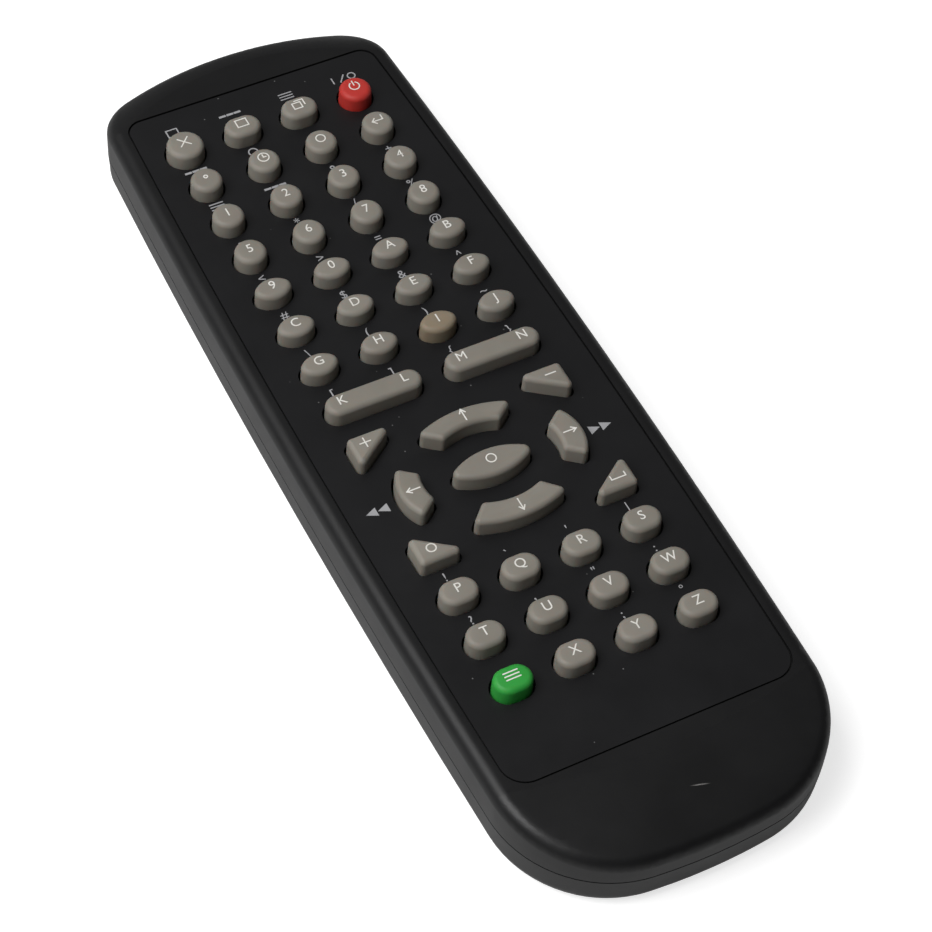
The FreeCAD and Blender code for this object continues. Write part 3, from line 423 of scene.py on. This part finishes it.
def straight_side(start, end, radii):
    """Ends of the line that touches two corners' circles on their outer side."""
    run = end - start
    outward = np.array([run[1], -run[0]]) / np.hypot(*run)
    return start + outward * radii[0], end + outward * radii[1], None


def curved_side(start, end, side, grow):
    """Ends of an arc about a hub that touches two corners' circles, bulging or hollow."""
    hub = np.array(side[:2])
    run, to_hub = end - start, hub - start
    bulges = run[0] * to_hub[1] - run[1] * to_hub[0] > 0
    reach = side[2] + grow if bulges else side[2] - grow
    first, last = (hub + (p - hub) * reach / np.hypot(*(p - hub)) for p in (start, end))
    return first, last, (hub, reach)


def outline(corners, sides, grow):
    """Anticlockwise line round corners (x, y, r), moved outwards by grow, in millimetres.

    Side i runs from corner i to the next: None is straight, (x, y, r) is an arc about x, y.
    """
    centres = np.array([[x, y] for x, y, _ in corners], dtype=float)
    radii = np.array([r for _, _, r in corners]) + grow
    ends = []
    for i, side in enumerate(sides):
        j = (i + 1) % len(corners)
        if side is None:
            ends.append(straight_side(centres[i], centres[j], (radii[i], radii[j])))
        else:
            ends.append(curved_side(centres[i], centres[j], side, grow))
    line = []
    for i, (first, last, arc) in enumerate(ends):
        if arc is None:
            line.append(first[None, :])
        else:
            start, end = bearing(arc[0], first), bearing(arc[0], last)
            turn = (end - start + np.pi) % (2 * np.pi) - np.pi
            line.append(arc_points(arc[0], arc[1], start, start + turn, ARC_STEPS))
        j = (i + 1) % len(corners)
        start, end = bearing(centres[j], last), bearing(centres[j], ends[j][0])
        end = start + (end - start) % (2 * np.pi)
        line.append(arc_points(centres[j], radii[j], start, end, CORNER_STEPS))
    return np.concatenate(line)


triangle_key = outline([(0, 0, 1), (4, 0, 1), (0, 3, 1)], [None] * 3, 0)
print("points round a three-cornered outline:", len(triangle_key))

# %% [markdown]
# ## The families of keys
#
# The small keys are circles, ovals and oblongs, and the two bars are long oblongs. Round the
# direction pad lie four three-cornered keys and four curved ones. A curved key's two long
# sides are arcs about different centres, which makes it thicker in the middle.

# %% Round and oblong keys
def disc(diameter, grow):
    """A circle."""
    return arc_points(np.zeros(2), diameter / 2 + grow, 0, 2 * np.pi, 72)


def oblong(length, width, grow):
    """Two half circles joined by straight sides."""
    half = (length - width) / 2
    return outline([(half, 0, width / 2), (-half, 0, width / 2)], [None, None], grow)


def oval(length, width, end, grow):
    """Round ends of radius e joined by arcs of radius (h^2 + c^2 - e^2) / (2 (h - e))."""
    c, h = length / 2 - end, width / 2
    r = (h * h + c * c - end * end) / (2 * (h - end))
    return outline([(c, 0, end), (-c, 0, end)], [(0, h - r, r), (0, r - h, r)], grow)


SMALL = partial(disc, 6.3)
LARGE = partial(disc, 7.4)
POWER = partial(disc, 6.5)
OVAL = partial(oval, 7.3, 5.25, 1.9)
WIDE = partial(oblong, 7.4, 5.5)
BAR = partial(oblong, 19.1, 4.9)
CENTRE = partial(oval, 15.3, 6.3, 1.4)
print("points round a small key", len(SMALL(0)), "an oval", len(OVAL(0)))


# %% Keys round the pad
PAD_CORNER = 1.0


def turned(line, across, along):
    """The line mirrored in X or Y, still anticlockwise."""
    line = line * np.array([across, along])
    return line if across * along > 0 else line[::-1]


def corner_key(across, along, grow):
    """Three corners: one at the far corner of the pad, and one back along each axis."""
    far_x, far_y = 20.55, 14.15
    near_x, near_y = far_x - 5.85, far_y - 4.15
    places = [(far_x, near_y), (far_x, far_y), (near_x, far_y)]
    corners = [(x, y, PAD_CORNER) for x, y in places]
    return turned(outline(corners, [None] * 3, grow), across, along)


def long_arrow(inner_edge, along, grow):
    """Straight ends between two arcs; a corner on an arc is sqrt(R^2 - x^2) past its hub."""
    r, wide, narrow = PAD_CORNER, 7.85, 5.5
    outer_edge, outer_arc, inner_arc = 13.05, 21.8, 13.6
    outer, inner = (0, outer_edge - outer_arc, outer_arc), (0, inner_edge - inner_arc, inner_arc)
    high = outer[1] + np.sqrt((outer_arc - r) ** 2 - wide**2)
    low = inner[1] + np.sqrt((inner_arc + r) ** 2 - narrow**2)
    corners = [(narrow, low, r), (wide, high, r), (-wide, high, r), (-narrow, low, r)]
    return turned(outline(corners, [None, outer, None, inner], grow), 1, along)


def side_arrow(across, grow):
    """The same between two arcs about hubs on the X axis."""
    r, tall, short = PAD_CORNER, 4.4, 2.7
    outer_edge, outer_arc, inner_edge, inner_arc = 18.3, 9.3, 13.2, 8.6
    outer, inner = (outer_edge - outer_arc, 0, outer_arc), (inner_edge - inner_arc, 0, inner_arc)
    far = outer[0] + np.sqrt((outer_arc - r) ** 2 - tall**2)
    near = inner[0] + np.sqrt((inner_arc + r) ** 2 - short**2)
    corners = [(near, -short, r), (far, -tall, r), (far, tall, r), (near, short, r)]
    return turned(outline(corners, [None, outer, None, inner], grow), across, 1)


print("a side arrow is", np.ptp(side_arrow(1, 0), axis=0).round(2), "mm")

# %% [markdown]
# ## A soft key from its outline
#
# A key's side leans in a little so that it leaves its mould, its rim turns over in a quarter
# round, and its top is flat. The surface is the outline carried up that profile: at each
# step the outline shrinks by the profile's inset and rises to its height. Flat caps close
# both ends, and a black carbon pill under the foot closes the contact.

# %% Key solid
KEY_FOOT, KEY_TOP, KEY_DRAFT = 14.5, 19.4, np.radians(1.5)
PILL_RADIUS, PILL_THICKNESS = 1.5, 0.25


def lofted(rings, heights):
    """Points and faces of a closed solid through rings of equal count at the given heights."""
    count = len(rings[0])
    points = np.concatenate(
        [np.column_stack([ring, np.full(count, z)]) for ring, z in zip(rings, heights)]
    )
    level = np.arange(len(rings) - 1)[:, None] * count
    here = np.arange(count)[None, :]
    after = (here + 1) % count
    quads = np.stack(
        [level + here, level + after, level + count + after, level + count + here], axis=-1
    ).reshape(-1, 4)
    top = np.arange(count) + count * (len(rings) - 1)
    return points, quads.tolist() + [list(range(count))[::-1], top.tolist()]


def key_solid(shape, rim):
    """Outline carried up a drafted side and round a rim of radius r, in millimetres."""
    turn = np.linspace(0, np.pi / 2, 9)
    base = KEY_TOP - rim
    lean = (base - KEY_FOOT) * np.tan(KEY_DRAFT)
    insets = np.concatenate([[0], lean + rim * (1 - np.cos(turn))])
    heights = np.concatenate([[KEY_FOOT], base + rim * np.sin(turn)])
    return lofted([shape(-inset) for inset in insets], heights)


def pill_solid(x, y):
    """Flat disc under the foot of a key."""
    ring = arc_points(np.array([x, y]), PILL_RADIUS, 0, 2 * np.pi, 24)
    return lofted([ring, ring], [KEY_FOOT - PILL_THICKNESS, KEY_FOOT])


def stack(*parts):
    """Several (points, faces, material number) as one set."""
    points, faces, which, start = [], [], [], 0
    for some_points, some_faces, number in parts:
        points.append(some_points)
        faces += [[v + start for v in face] for face in some_faces]
        which += [number] * len(some_faces)
        start += len(some_points)
    return np.concatenate(points), faces, which


print("a small key has", len(key_solid(SMALL, 1.0)[1]), "faces")

# %% [markdown]
# ## Ink and letters
#
# Real ink stands a little proud of the rubber, so every sign is a flat shape given a thickness
# of 0.03 mm. Letters and digits come from Blender's built-in typeface: a text object is turned
# into a mesh once, and its points are read into an array.

# %% Ink layer
INK = 0.03


def prism(flat, faces, z):
    """Flat faces at height z given the ink's thickness, with closed sides."""
    count = len(flat)
    low = np.column_stack([flat, np.full(count, z)])
    high = low + [0, 0, INK]
    edges = {}
    for face in faces:
        for a, b in zip(face, face[1:] + face[:1]):
            edges[(a, b)] = edges.get((a, b), 0) + 1
    rim = [[a, b, b + count, a + count] for a, b in edges if (b, a) not in edges]
    tops = [[v + count for v in face] for face in faces]
    return np.concatenate([low, high]), [face[::-1] for face in faces] + tops + rim


print("ink stands", INK, "mm proud")


# %% Letters
FONT_CELLS = 1e5


def text_faces(text):
    """Flat mesh of a text in font units, centred, with its faces anticlockwise."""
    curve = bpy.data.curves.new("sign", "FONT")
    curve.body = text
    curve.align_x = "CENTER"
    curve.resolution_u = 4
    maker = bpy.data.objects.new("sign", curve)
    bpy.context.scene.collection.objects.link(maker)
    bpy.context.view_layer.update()
    mesh = bpy.data.meshes.new_from_object(maker)
    flat = np.zeros(len(mesh.vertices) * 3)
    mesh.vertices.foreach_get("co", flat)
    flat = flat.reshape(-1, 3)[:, :2]
    cells = np.round(flat * FONT_CELLS).astype(int)
    cells, index = np.unique(cells, axis=0, return_inverse=True)
    index = index.reshape(-1)
    flat = cells / FONT_CELLS
    faces = []
    for polygon in mesh.polygons:
        face = [int(index[v]) for v in polygon.vertices]
        face = [v for v, w in zip(face, face[1:] + face[:1]) if v != w]
        if len(face) < 3:
            continue
        x, y = flat[face].T
        area = np.sum(x * np.roll(y, -1) - y * np.roll(x, -1))
        if area:
            faces.append(face if area > 0 else face[::-1])
    bpy.data.objects.remove(maker)
    bpy.data.meshes.remove(mesh)
    return flat, faces


CAPITAL = np.ptp(text_faces("H")[0][:, 1])
print("height of a capital letter in font units", round(float(CAPITAL), 3))


def lettering(text, height, x, y, z):
    """A text whose capitals are height millimetres tall, centred on x, y."""
    flat, faces = text_faces(text)
    flat = flat * height / CAPITAL + [x, y - height / 2]
    return prism(flat, faces, z)


# %% [markdown]
# ## Pen strokes
#
# Simple signs such as arrows are drawn with a pen: a run of points becomes a ribbon of the
# pen's width, mitred where it bends. Where two runs of a sign cross, the second lies a hair
# above the first, so their faces never share one plane.

# %% Ribbons
PEN = 0.24
HAIR = 0.004


def ribbon(run, pen):
    """Left and right edges of a stroke: half a pen across, over the cosine of half a bend."""
    run = np.array(run, dtype=float)
    closed = np.allclose(run[0], run[-1])
    steps = np.diff(run, axis=0)
    steps /= np.hypot(*steps.T)[:, None]
    if not closed:
        run[0] -= steps[0] * pen / 2
        run[-1] += steps[-1] * pen / 2
    before = np.vstack([steps[-1:] if closed else steps[:1], steps])
    after = np.vstack([steps, steps[:1] if closed else steps[-1:]])
    middle = before + after
    middle /= np.hypot(*middle.T)[:, None]
    reach = pen / 2 / np.maximum(np.sum(middle * after, axis=1), 0.5)
    side = np.column_stack([-middle[:, 1], middle[:, 0]]) * reach[:, None]
    return run + side, run - side


def strokes(runs, x, y, z, pen=PEN):
    """Pen strokes: each run of points is a ribbon, a hair above the run before it."""
    parts = []
    for number, run in enumerate(runs):
        left, right = ribbon(run, pen)
        count = len(left)
        if np.allclose(run[0], run[-1]):
            left, right, count = left[:-1], right[:-1], count - 1
            after = [(i + 1) % count for i in range(count)]
        else:
            after = list(range(1, count))
        faces = [[count + i, count + j, j, i] for i, j in zip(range(count), after)]
        flat = np.concatenate([left, right]) + [x, y]
        parts.append((*prism(flat, faces, z + HAIR * number), 0))
    points, faces, _ = stack(*parts)
    return points, faces


print("a stroke with one bend has", len(strokes([[(0, 0), (1, 0), (1, 1)]], 0, 0, 0)[1]), "faces")


# %% Drawn signs
def ring_run(radius, first=0.0, last=360.0, steps=24):
    """Points along part of a circle, in degrees."""
    angles = np.radians(np.linspace(first, last, steps + 1))
    return np.column_stack([np.cos(angles), np.sin(angles)]) * radius


def pointing(runs, degrees):
    """The same strokes turned about their middle."""
    c, s = np.cos(np.radians(degrees)), np.sin(np.radians(degrees))
    return [np.array(run) @ np.array([[c, s], [-s, c]]) for run in runs]


ARROW = [[(-1.25, 0), (1.25, 0)], [(0.45, 0.55), (1.25, 0), (0.45, -0.55)]]
SIGNS = {
    "cross": [[(-1, -1), (1, 1)], [(-1, 1), (1, -1)]],
    "square": [[(-1.1, -0.9), (1.1, -0.9), (1.1, 0.9), (-1.1, 0.9), (-1.1, -0.9)]],
    "sheets": [
        [(-1.2, -1), (0.5, -1), (0.5, 0.5), (-1.2, 0.5), (-1.2, -1)],
        [(-0.5, 1), (1.2, 1), (1.2, -0.4)],
    ],
    "power": [ring_run(1.0, 125, 415), [(0, 0.2), (0, 1.3)]],
    "dot": [ring_run(0.35)],
    "clock": [ring_run(1.05), [(0, 0.65), (0, 0), (0.5, 0)]],
    "ring": [ring_run(0.9)],
    "return": [[(1.1, 0.8), (1.1, -0.3), (-1.1, -0.3)], [(-0.4, 0.4), (-1.1, -0.3), (-0.4, -1)]],
    "plus": [[(-1, 0), (1, 0)], [(0, -1), (0, 1)]],
    "minus": [[(-1, 0), (1, 0)]],
    "space": [[(-1.4, 0.3), (-1.4, -0.5), (1.4, -0.5), (1.4, 0.3)]],
    "bars": [[(-1.3, 0.7), (1.3, 0.7)], [(-1.3, 0), (1.3, 0)], [(-1.3, -0.7), (1.3, -0.7)]],
    "up": pointing(ARROW, 90),
    "down": pointing(ARROW, -90),
    "left": pointing(ARROW, 180),
    "right": ARROW,
}
print(len(SIGNS), "drawn signs")

# %% [markdown]
# ## Every key in its place
#
# The keys stand on a grid of 12 mm by 9.84 mm. The table gives each key's name, outline and
# place. A key rides on its own body, so it sinks or rocks with its joint, and its ink goes
# with it as a further material on the same mesh.

# %% Table of keys
SHIFT, PITCH, ROW = -0.4, 12.0, 9.84
TOP_ROW, LOWER_ROW, PAD = 74.9, -38.9, -16.75
BAR_ROW = TOP_ROW - ROW * 7


def grid_row(names, shape, first, row):
    """Keys from the left column; an empty name leaves its column free."""
    y = first - ROW * row
    return [
        (name, shape, SHIFT + PITCH * (column - 1.5), y)
        for column, name in enumerate(names)
        if name
    ]


keys = grid_row(["key_escape"], LARGE, TOP_ROW, 0)
keys += grid_row(["", "key_program", "key_copy"], WIDE, TOP_ROW, 0)
keys += grid_row(["", "", "", "key_power"], POWER, TOP_ROW, 0)
keys += grid_row(["key_method", "key_time", "key_clear", "key_enter"], SMALL, TOP_ROW, 1)
keys += grid_row(["key_1", "key_2", "key_3", "key_4"], SMALL, TOP_ROW, 2)
keys += grid_row(["key_5", "key_6", "key_7", "key_8"], SMALL, TOP_ROW, 3)
keys += grid_row(["key_9", "key_0", "key_a", "key_b"], OVAL, TOP_ROW, 4)
keys += grid_row(["key_c", "key_d", "key_e", "key_f"], OVAL, TOP_ROW, 5)
keys += grid_row(["key_g", "key_h", "key_i", "key_j"], OVAL, TOP_ROW, 6)
keys += grid_row(["key_p", "key_q", "key_r", "key_s"], WIDE, LOWER_ROW, 0)
keys += grid_row(["key_t", "key_u", "key_v", "key_w"], WIDE, LOWER_ROW, 1)
keys += grid_row(["key_alternate", "key_x", "key_y", "key_z"], WIDE, LOWER_ROW, 2)
keys += [("key_k_l", BAR, SHIFT - PITCH, BAR_ROW), ("key_m_n", BAR, SHIFT + PITCH, BAR_ROW)]
pad_keys = {
    "key_insert": partial(corner_key, -1, 1),
    "key_delete": partial(corner_key, 1, 1),
    "key_o": partial(corner_key, -1, -1),
    "key_space": partial(corner_key, 1, -1),
    "key_previous": partial(long_arrow, 8.8, 1),
    "key_next": partial(long_arrow, 8.3, -1),
    "key_left": partial(side_arrow, -1),
    "key_right": partial(side_arrow, 1),
    "key_capitals": CENTRE,
}
keys += [(name, shape, SHIFT, PAD) for name, shape in pad_keys.items()]
print(len(keys), "keys")

# %% [markdown]
# ## What is on each key
#
# A key with one letter or digit in its name carries that letter or digit. The others have a
# drawn sign from the table, and the two bars carry a letter at each end.

# %% Signs of the keys
LETTER = 1.85
LEGEND_UP = 0.45
BAR_LETTER = 6.2
DRAWN = {
    "key_escape": "cross",
    "key_program": "square",
    "key_copy": "sheets",
    "key_power": "power",
    "key_method": "dot",
    "key_time": "clock",
    "key_clear": "ring",
    "key_enter": "return",
    "key_insert": "plus",
    "key_delete": "minus",
    "key_space": "space",
    "key_previous": "up",
    "key_next": "down",
    "key_left": "left",
    "key_right": "right",
    "key_capitals": "ring",
    "key_alternate": "bars",
}
SIGN_PLACE = {
    "key_insert": (-18.6, 12.9),
    "key_delete": (18.6, 12.9),
    "key_o": (-18.4, -12.4),
    "key_space": (18.4, -12.4),
    "key_previous": (0, 11.1),
    "key_next": (0, -10.7),
    "key_left": (-15.6, 0),
    "key_right": (15.6, 0),
}


def key_signs(name):
    """The ink on one key, as a list of (points, faces), about the key's own middle."""
    x, y = SIGN_PLACE.get(name, (0, LEGEND_UP))
    if name in DRAWN:
        return [strokes(SIGNS[DRAWN[name]], x, y, KEY_TOP)]
    letters = name[4:].upper().split("_")
    if len(letters) == 2:
        ends = zip(letters, (-BAR_LETTER, BAR_LETTER))
        return [lettering(letter, LETTER, side, LEGEND_UP, KEY_TOP) for letter, side in ends]
    return [lettering(letters[0], LETTER, x, y, KEY_TOP)]


print(len(DRAWN), "keys have a drawn sign, and", len(keys) - len(DRAWN), "have letters or digits")

# %% Make the keys
RUBBER = {"key_power": red_rubber, "key_alternate": green_rubber, "key_i": tan_rubber}
RIM, PAD_RIM = 1.05, 1.0
PILLS = {
    "key_k_l": [(-7, 0), (7, 0)],
    "key_m_n": [(-7, 0), (7, 0)],
    "key_insert": [(-19.15, 12.75)],
    "key_delete": [(19.15, 12.75)],
    "key_o": [(-19.15, -12.75)],
    "key_space": [(19.15, -12.75)],
    "key_previous": [(0, 10.925)],
    "key_next": [(0, -10.925)],
    "key_left": [(-15.75, 0)],
    "key_right": [(15.75, 0)],
}


def make_key(name, shape, x, y):
    """One key with its pills and its ink, riding on its own body."""
    rim = PAD_RIM if name in pad_keys else RIM
    parts = [(*key_solid(shape, rim), 0)]
    parts += [(*pill_solid(*place), 1) for place in PILLS.get(name, [(0, 0)])]
    parts += [(*sign, 2) for sign in key_signs(name)]
    points, faces, which = stack(*parts)
    points = (points + [x, y, 0]) * MM
    materials = [RUBBER.get(name, grey_rubber), pill_carbon, key_ink]
    piece = new_piece(name + "_cap", points.tolist(), faces, materials, which)
    shade_smooth(piece, SHARP_EDGE)
    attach(piece, name)
    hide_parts(name)
    return piece


caps = [make_key(*key) for key in keys]
print("made", len(caps), "keys,", sum(len(cap.data.polygons) for cap in caps), "faces")

# %% [markdown]
# ## Print on the faceplate
#
# A small grey mark is printed over each key, with two pairs of silver triangles beside the
# pad. They are generic signs: arithmetic and punctuation marks, dashes, and the line and
# circle of on and off over the red key. All of them are one thin layer of ink that rides on
# the case.

# %% Marks over the keys
PLATE_TOP = 16.4
MARK = 1.8
MARK_UP, TOP_MARK_UP, POWER_MARK_UP, BAR_MARK_UP = 5.0, 6.0, 5.8, 4.6
MARK_PEN, DASH_PEN = 0.26, 0.5
DASHES = [[(-2.0, 0), (-1.1, 0)], [(-0.45, 0), (0.45, 0)], [(1.1, 0), (2.0, 0)]]
ON_AND_OFF = [
    [(-2.0, -0.7), (-2.0, 0.7)],
    [(-0.6, -0.8), (0.6, 0.8)],
    ring_run(0.75) + [2.0, 0],
]
marks = []


def mark_row(texts, first, row, up=MARK_UP):
    """One printed mark over each key of a row."""
    for column, text in enumerate(texts):
        if not text:
            continue
        x = SHIFT + PITCH * (column - 1.5)
        y = first - ROW * row + up
        if text in SIGNS:
            marks.append(strokes(SIGNS[text], x, y, PLATE_TOP, MARK_PEN))
        elif text == "dashes":
            marks.append(strokes(DASHES, x, y, PLATE_TOP, DASH_PEN))
        else:
            marks.append(lettering(text, MARK, x, y, PLATE_TOP))


mark_row(["square", "dashes", "bars", ""], TOP_ROW, 0, TOP_MARK_UP)
power_mark = (SHIFT + PITCH * 1.5, TOP_ROW + POWER_MARK_UP, PLATE_TOP, MARK_PEN)
marks.append(strokes(ON_AND_OFF, *power_mark))
mark_row(["dashes", "ring", "", ""], TOP_ROW, 1)
mark_row(["bars", "dashes", "dot", "+"], TOP_ROW, 2)
mark_row(["-", "*", "/", "%"], TOP_ROW, 3)
mark_row(["<", ">", "=", "@"], TOP_ROW, 4)
mark_row(["#", "$", "&", "^"], TOP_ROW, 5)
mark_row(["\\", "(", ")", "~"], TOP_ROW, 6)
for x, text in zip((-18.4, -6.4, 5.6, 17.6), "[]{}"):
    marks.append(lettering(text, MARK, x, BAR_ROW + BAR_MARK_UP, PLATE_TOP))
mark_row(["!", "`", "'", "|"], LOWER_ROW, 0)
mark_row(["?", ",", '"', ":"], LOWER_ROW, 1)
mark_row(["", "", ";", "°"], LOWER_ROW, 2)
print(len(marks), "marks over the keys")


# %% Triangles and the print layer
TRIANGLE_Y, TRIANGLE_STARTS, TRIANGLE_LONG, TRIANGLE_TALL = -16.4, (20.1, 22.4), 2.1, 1.9


def triangle(x, y, width, height):
    """Solid triangle that points along X; a negative width points it the other way."""
    flat = np.array([(x, y - height / 2), (x + width, y), (x, y + height / 2)])
    face = [0, 1, 2] if width > 0 else [0, 2, 1]
    return prism(flat, [face], PLATE_TOP)


for side in (-1, 1):
    for start in TRIANGLE_STARTS:
        x = SHIFT + side * start
        marks.append(triangle(x, TRIANGLE_Y, side * TRIANGLE_LONG, TRIANGLE_TALL))
print_points, print_faces, _ = stack(*[(*mark, 0) for mark in marks])
print_layer = new_piece(
    "faceplate_print", (print_points * MM).tolist(), print_faces, [plate_ink]
)
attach(print_layer, "case")
print(len(marks), "marks,", len(print_faces), "faces")

# %% [markdown]
# ## Floor
#
# The photograph was taken in a light tent: a white floor that fades into a white background, a
# soft light over the remote, and dark only where the camera stands. Lamps strong enough to
# turn the floor white would wash out the black plastic, so the floor is a pale grey paper,
# and Light Path lifts it for the rays that come from the camera, and a little for
# reflections. Near the remote the lift is weaker, so that the floor keeps its shadow. The
# floor lies a hair below the case, so that two faces never share one place.

# %% Floor material
LIFT_NEAR, LIFT_FAR = 0.72, 1.0
NEAR, FAR = 0.25, 0.7
REFLECTED = 0.22
FIBRE_MM = 2.0


def background_rays(tree):
    """1 for a ray from the camera or through clear plastic, and 1 for a reflected ray."""
    rays = add_node(tree, "ShaderNodeLightPath")
    straight = add_node(
        tree,
        "ShaderNodeMath",
        None,
        {0: rays.outputs["Is Camera Ray"], 1: rays.outputs["Is Transmission Ray"]},
        operation="MAXIMUM",
    )
    return straight.outputs["Value"], rays.outputs["Is Glossy Ray"]


def lift_floor(tree, shader, place):
    """Glow of the floor: (camera ray, or a part of a reflected one) x (more far away)."""
    straight, reflected = background_rays(tree)
    faint = add_node(tree, "ShaderNodeMath", {1: REFLECTED}, {0: reflected}, operation="MULTIPLY")
    seen = add_node(
        tree, "ShaderNodeMath", None, {0: straight, 1: faint.outputs["Value"]}, operation="MAXIMUM"
    )
    away = add_node(tree, "ShaderNodeVectorMath", None, {0: place}, operation="LENGTH")
    fade = add_node(
        tree,
        "ShaderNodeMapRange",
        {"From Min": NEAR, "From Max": FAR, "To Min": LIFT_NEAR, "To Max": LIFT_FAR},
        {"Value": away.outputs["Value"]},
    )
    lift = add_node(
        tree,
        "ShaderNodeMath",
        None,
        {0: seen.outputs["Value"], 1: fade.outputs["Result"]},
        operation="MULTIPLY",
    )
    shader.inputs["Emission Color"].default_value = (1, 1, 1, 1)
    tree.links.new(lift.outputs["Value"], shader.inputs["Emission Strength"])


paper, paper_tree, paper_shader, paper_place = new_material(
    "white_paper_floor", {"Base Color": linear("#c8c8c8"), "Roughness": 0.9}
)
lift_floor(paper_tree, paper_shader, paper_place)
speckle = add_node(
    paper_tree,
    "ShaderNodeTexNoise",
    {"Scale": 1000 / FIBRE_MM, "Detail": 3.0},
    {"Vector": paper_place},
)
fibre = add_node(
    paper_tree, "ShaderNodeBump", {"Distance": 0.02 * MM}, {"Height": speckle.outputs["Fac"]}
)
paper_tree.links.new(fibre.outputs["Normal"], paper_shader.inputs["Normal"])
print("floor material", paper.name, "with", len(paper_tree.nodes), "nodes")

# %% Floor sheet
FLOOR_HALF, FLOOR_DROP = 2.0, 0.00002
floor_corners = FLOOR_HALF * np.array([(-1, -1), (1, -1), (1, 1), (-1, 1)])
floor_corners = np.column_stack([floor_corners, np.full(4, -FLOOR_DROP)])
floor = new_piece("floor", floor_corners.tolist(), [(0, 1, 2, 3)], [paper])
print("floor of", 2 * FLOOR_HALF, "m")

# %% [markdown]
# ## World
#
# The world is the tent's wall: light over the infrared end and dark towards the camera, which
# is what the black plastic mirrors. Only the camera, and light through clear plastic, sees it
# as plain white.

# %% World
world = bpy.data.worlds.new("light_tent")
bpy.context.scene.world = world
world.use_nodes = True
world_tree = world.node_tree
backdrop = world_tree.nodes["Background"]
backdrop.inputs["Color"].default_value = (1, 1, 1, 1)
direction = add_node(world_tree, "ShaderNodeTexCoord")
axes = add_node(
    world_tree, "ShaderNodeSeparateXYZ", None, {"Vector": direction.outputs["Generated"]}
)
tent = add_node(
    world_tree,
    "ShaderNodeMapRange",
    {"From Min": -0.4, "From Max": 0.8, "To Min": 0.03, "To Max": 0.24},
    {"Value": axes.outputs["Y"]},
)
sky = add_node(
    world_tree,
    "ShaderNodeMath",
    None,
    {0: tent.outputs["Result"], 1: background_rays(world_tree)[0]},
    operation="MAXIMUM",
)
world_tree.links.new(sky.outputs["Value"], backdrop.inputs["Strength"])
print("world", world.name, "with", len(world_tree.nodes), "nodes")

# %% [markdown]
# ## Lamps and camera
#
# One large softbox hangs high on the left and makes the keys' tops light and their near
# sides darker. A weak one in front keeps the walls from going black. The camera stands where
# the photographer stood, worked out from the places of the keys in the photograph.

# %% Lamps
def softbox(name, place, width, height, power):
    """Rectangular area lamp at a place, turned to face the remote."""
    lamp = bpy.data.lights.new(name, "AREA")
    lamp.shape = "RECTANGLE"
    lamp.size = width
    lamp.size_y = height
    lamp.energy = power
    holder = bpy.data.objects.new(name, lamp)
    holder.location = place
    holder.rotation_euler = (-Vector(place)).to_track_quat("-Z", "Y").to_euler()
    bpy.context.scene.collection.objects.link(holder)
    print(name, power, "W")


softbox("top_softbox", (-0.55, 0.05, 0.9), 0.7, 0.7, 11.5)
softbox("front_softbox", (-0.8, -0.8, 0.7), 0.7, 0.6, 0.8)

# %% Camera
RIGHT = Vector((0.88673, -0.45894, 0.05544))
CAMERA_UP = Vector((0.33665, 0.72328, 0.60294))
FORWARD = Vector((0.31681, 0.51599, -0.79586))
STANDPOINT = Vector((-0.17005, -0.28442, 0.43335))
camera = bpy.data.objects.new("camera", bpy.data.cameras.new("camera"))
camera.data.sensor_width = 36
camera.data.lens = 114.36
rotation = Matrix((RIGHT, CAMERA_UP, -FORWARD)).transposed().to_4x4()
camera.matrix_world = Matrix.Translation(STANDPOINT) @ rotation
bpy.context.scene.collection.objects.link(camera)
bpy.context.scene.camera = camera
bpy.context.scene.view_settings.view_transform = "Standard"
print("camera", round(STANDPOINT.length, 3), "m from the middle of the remote")
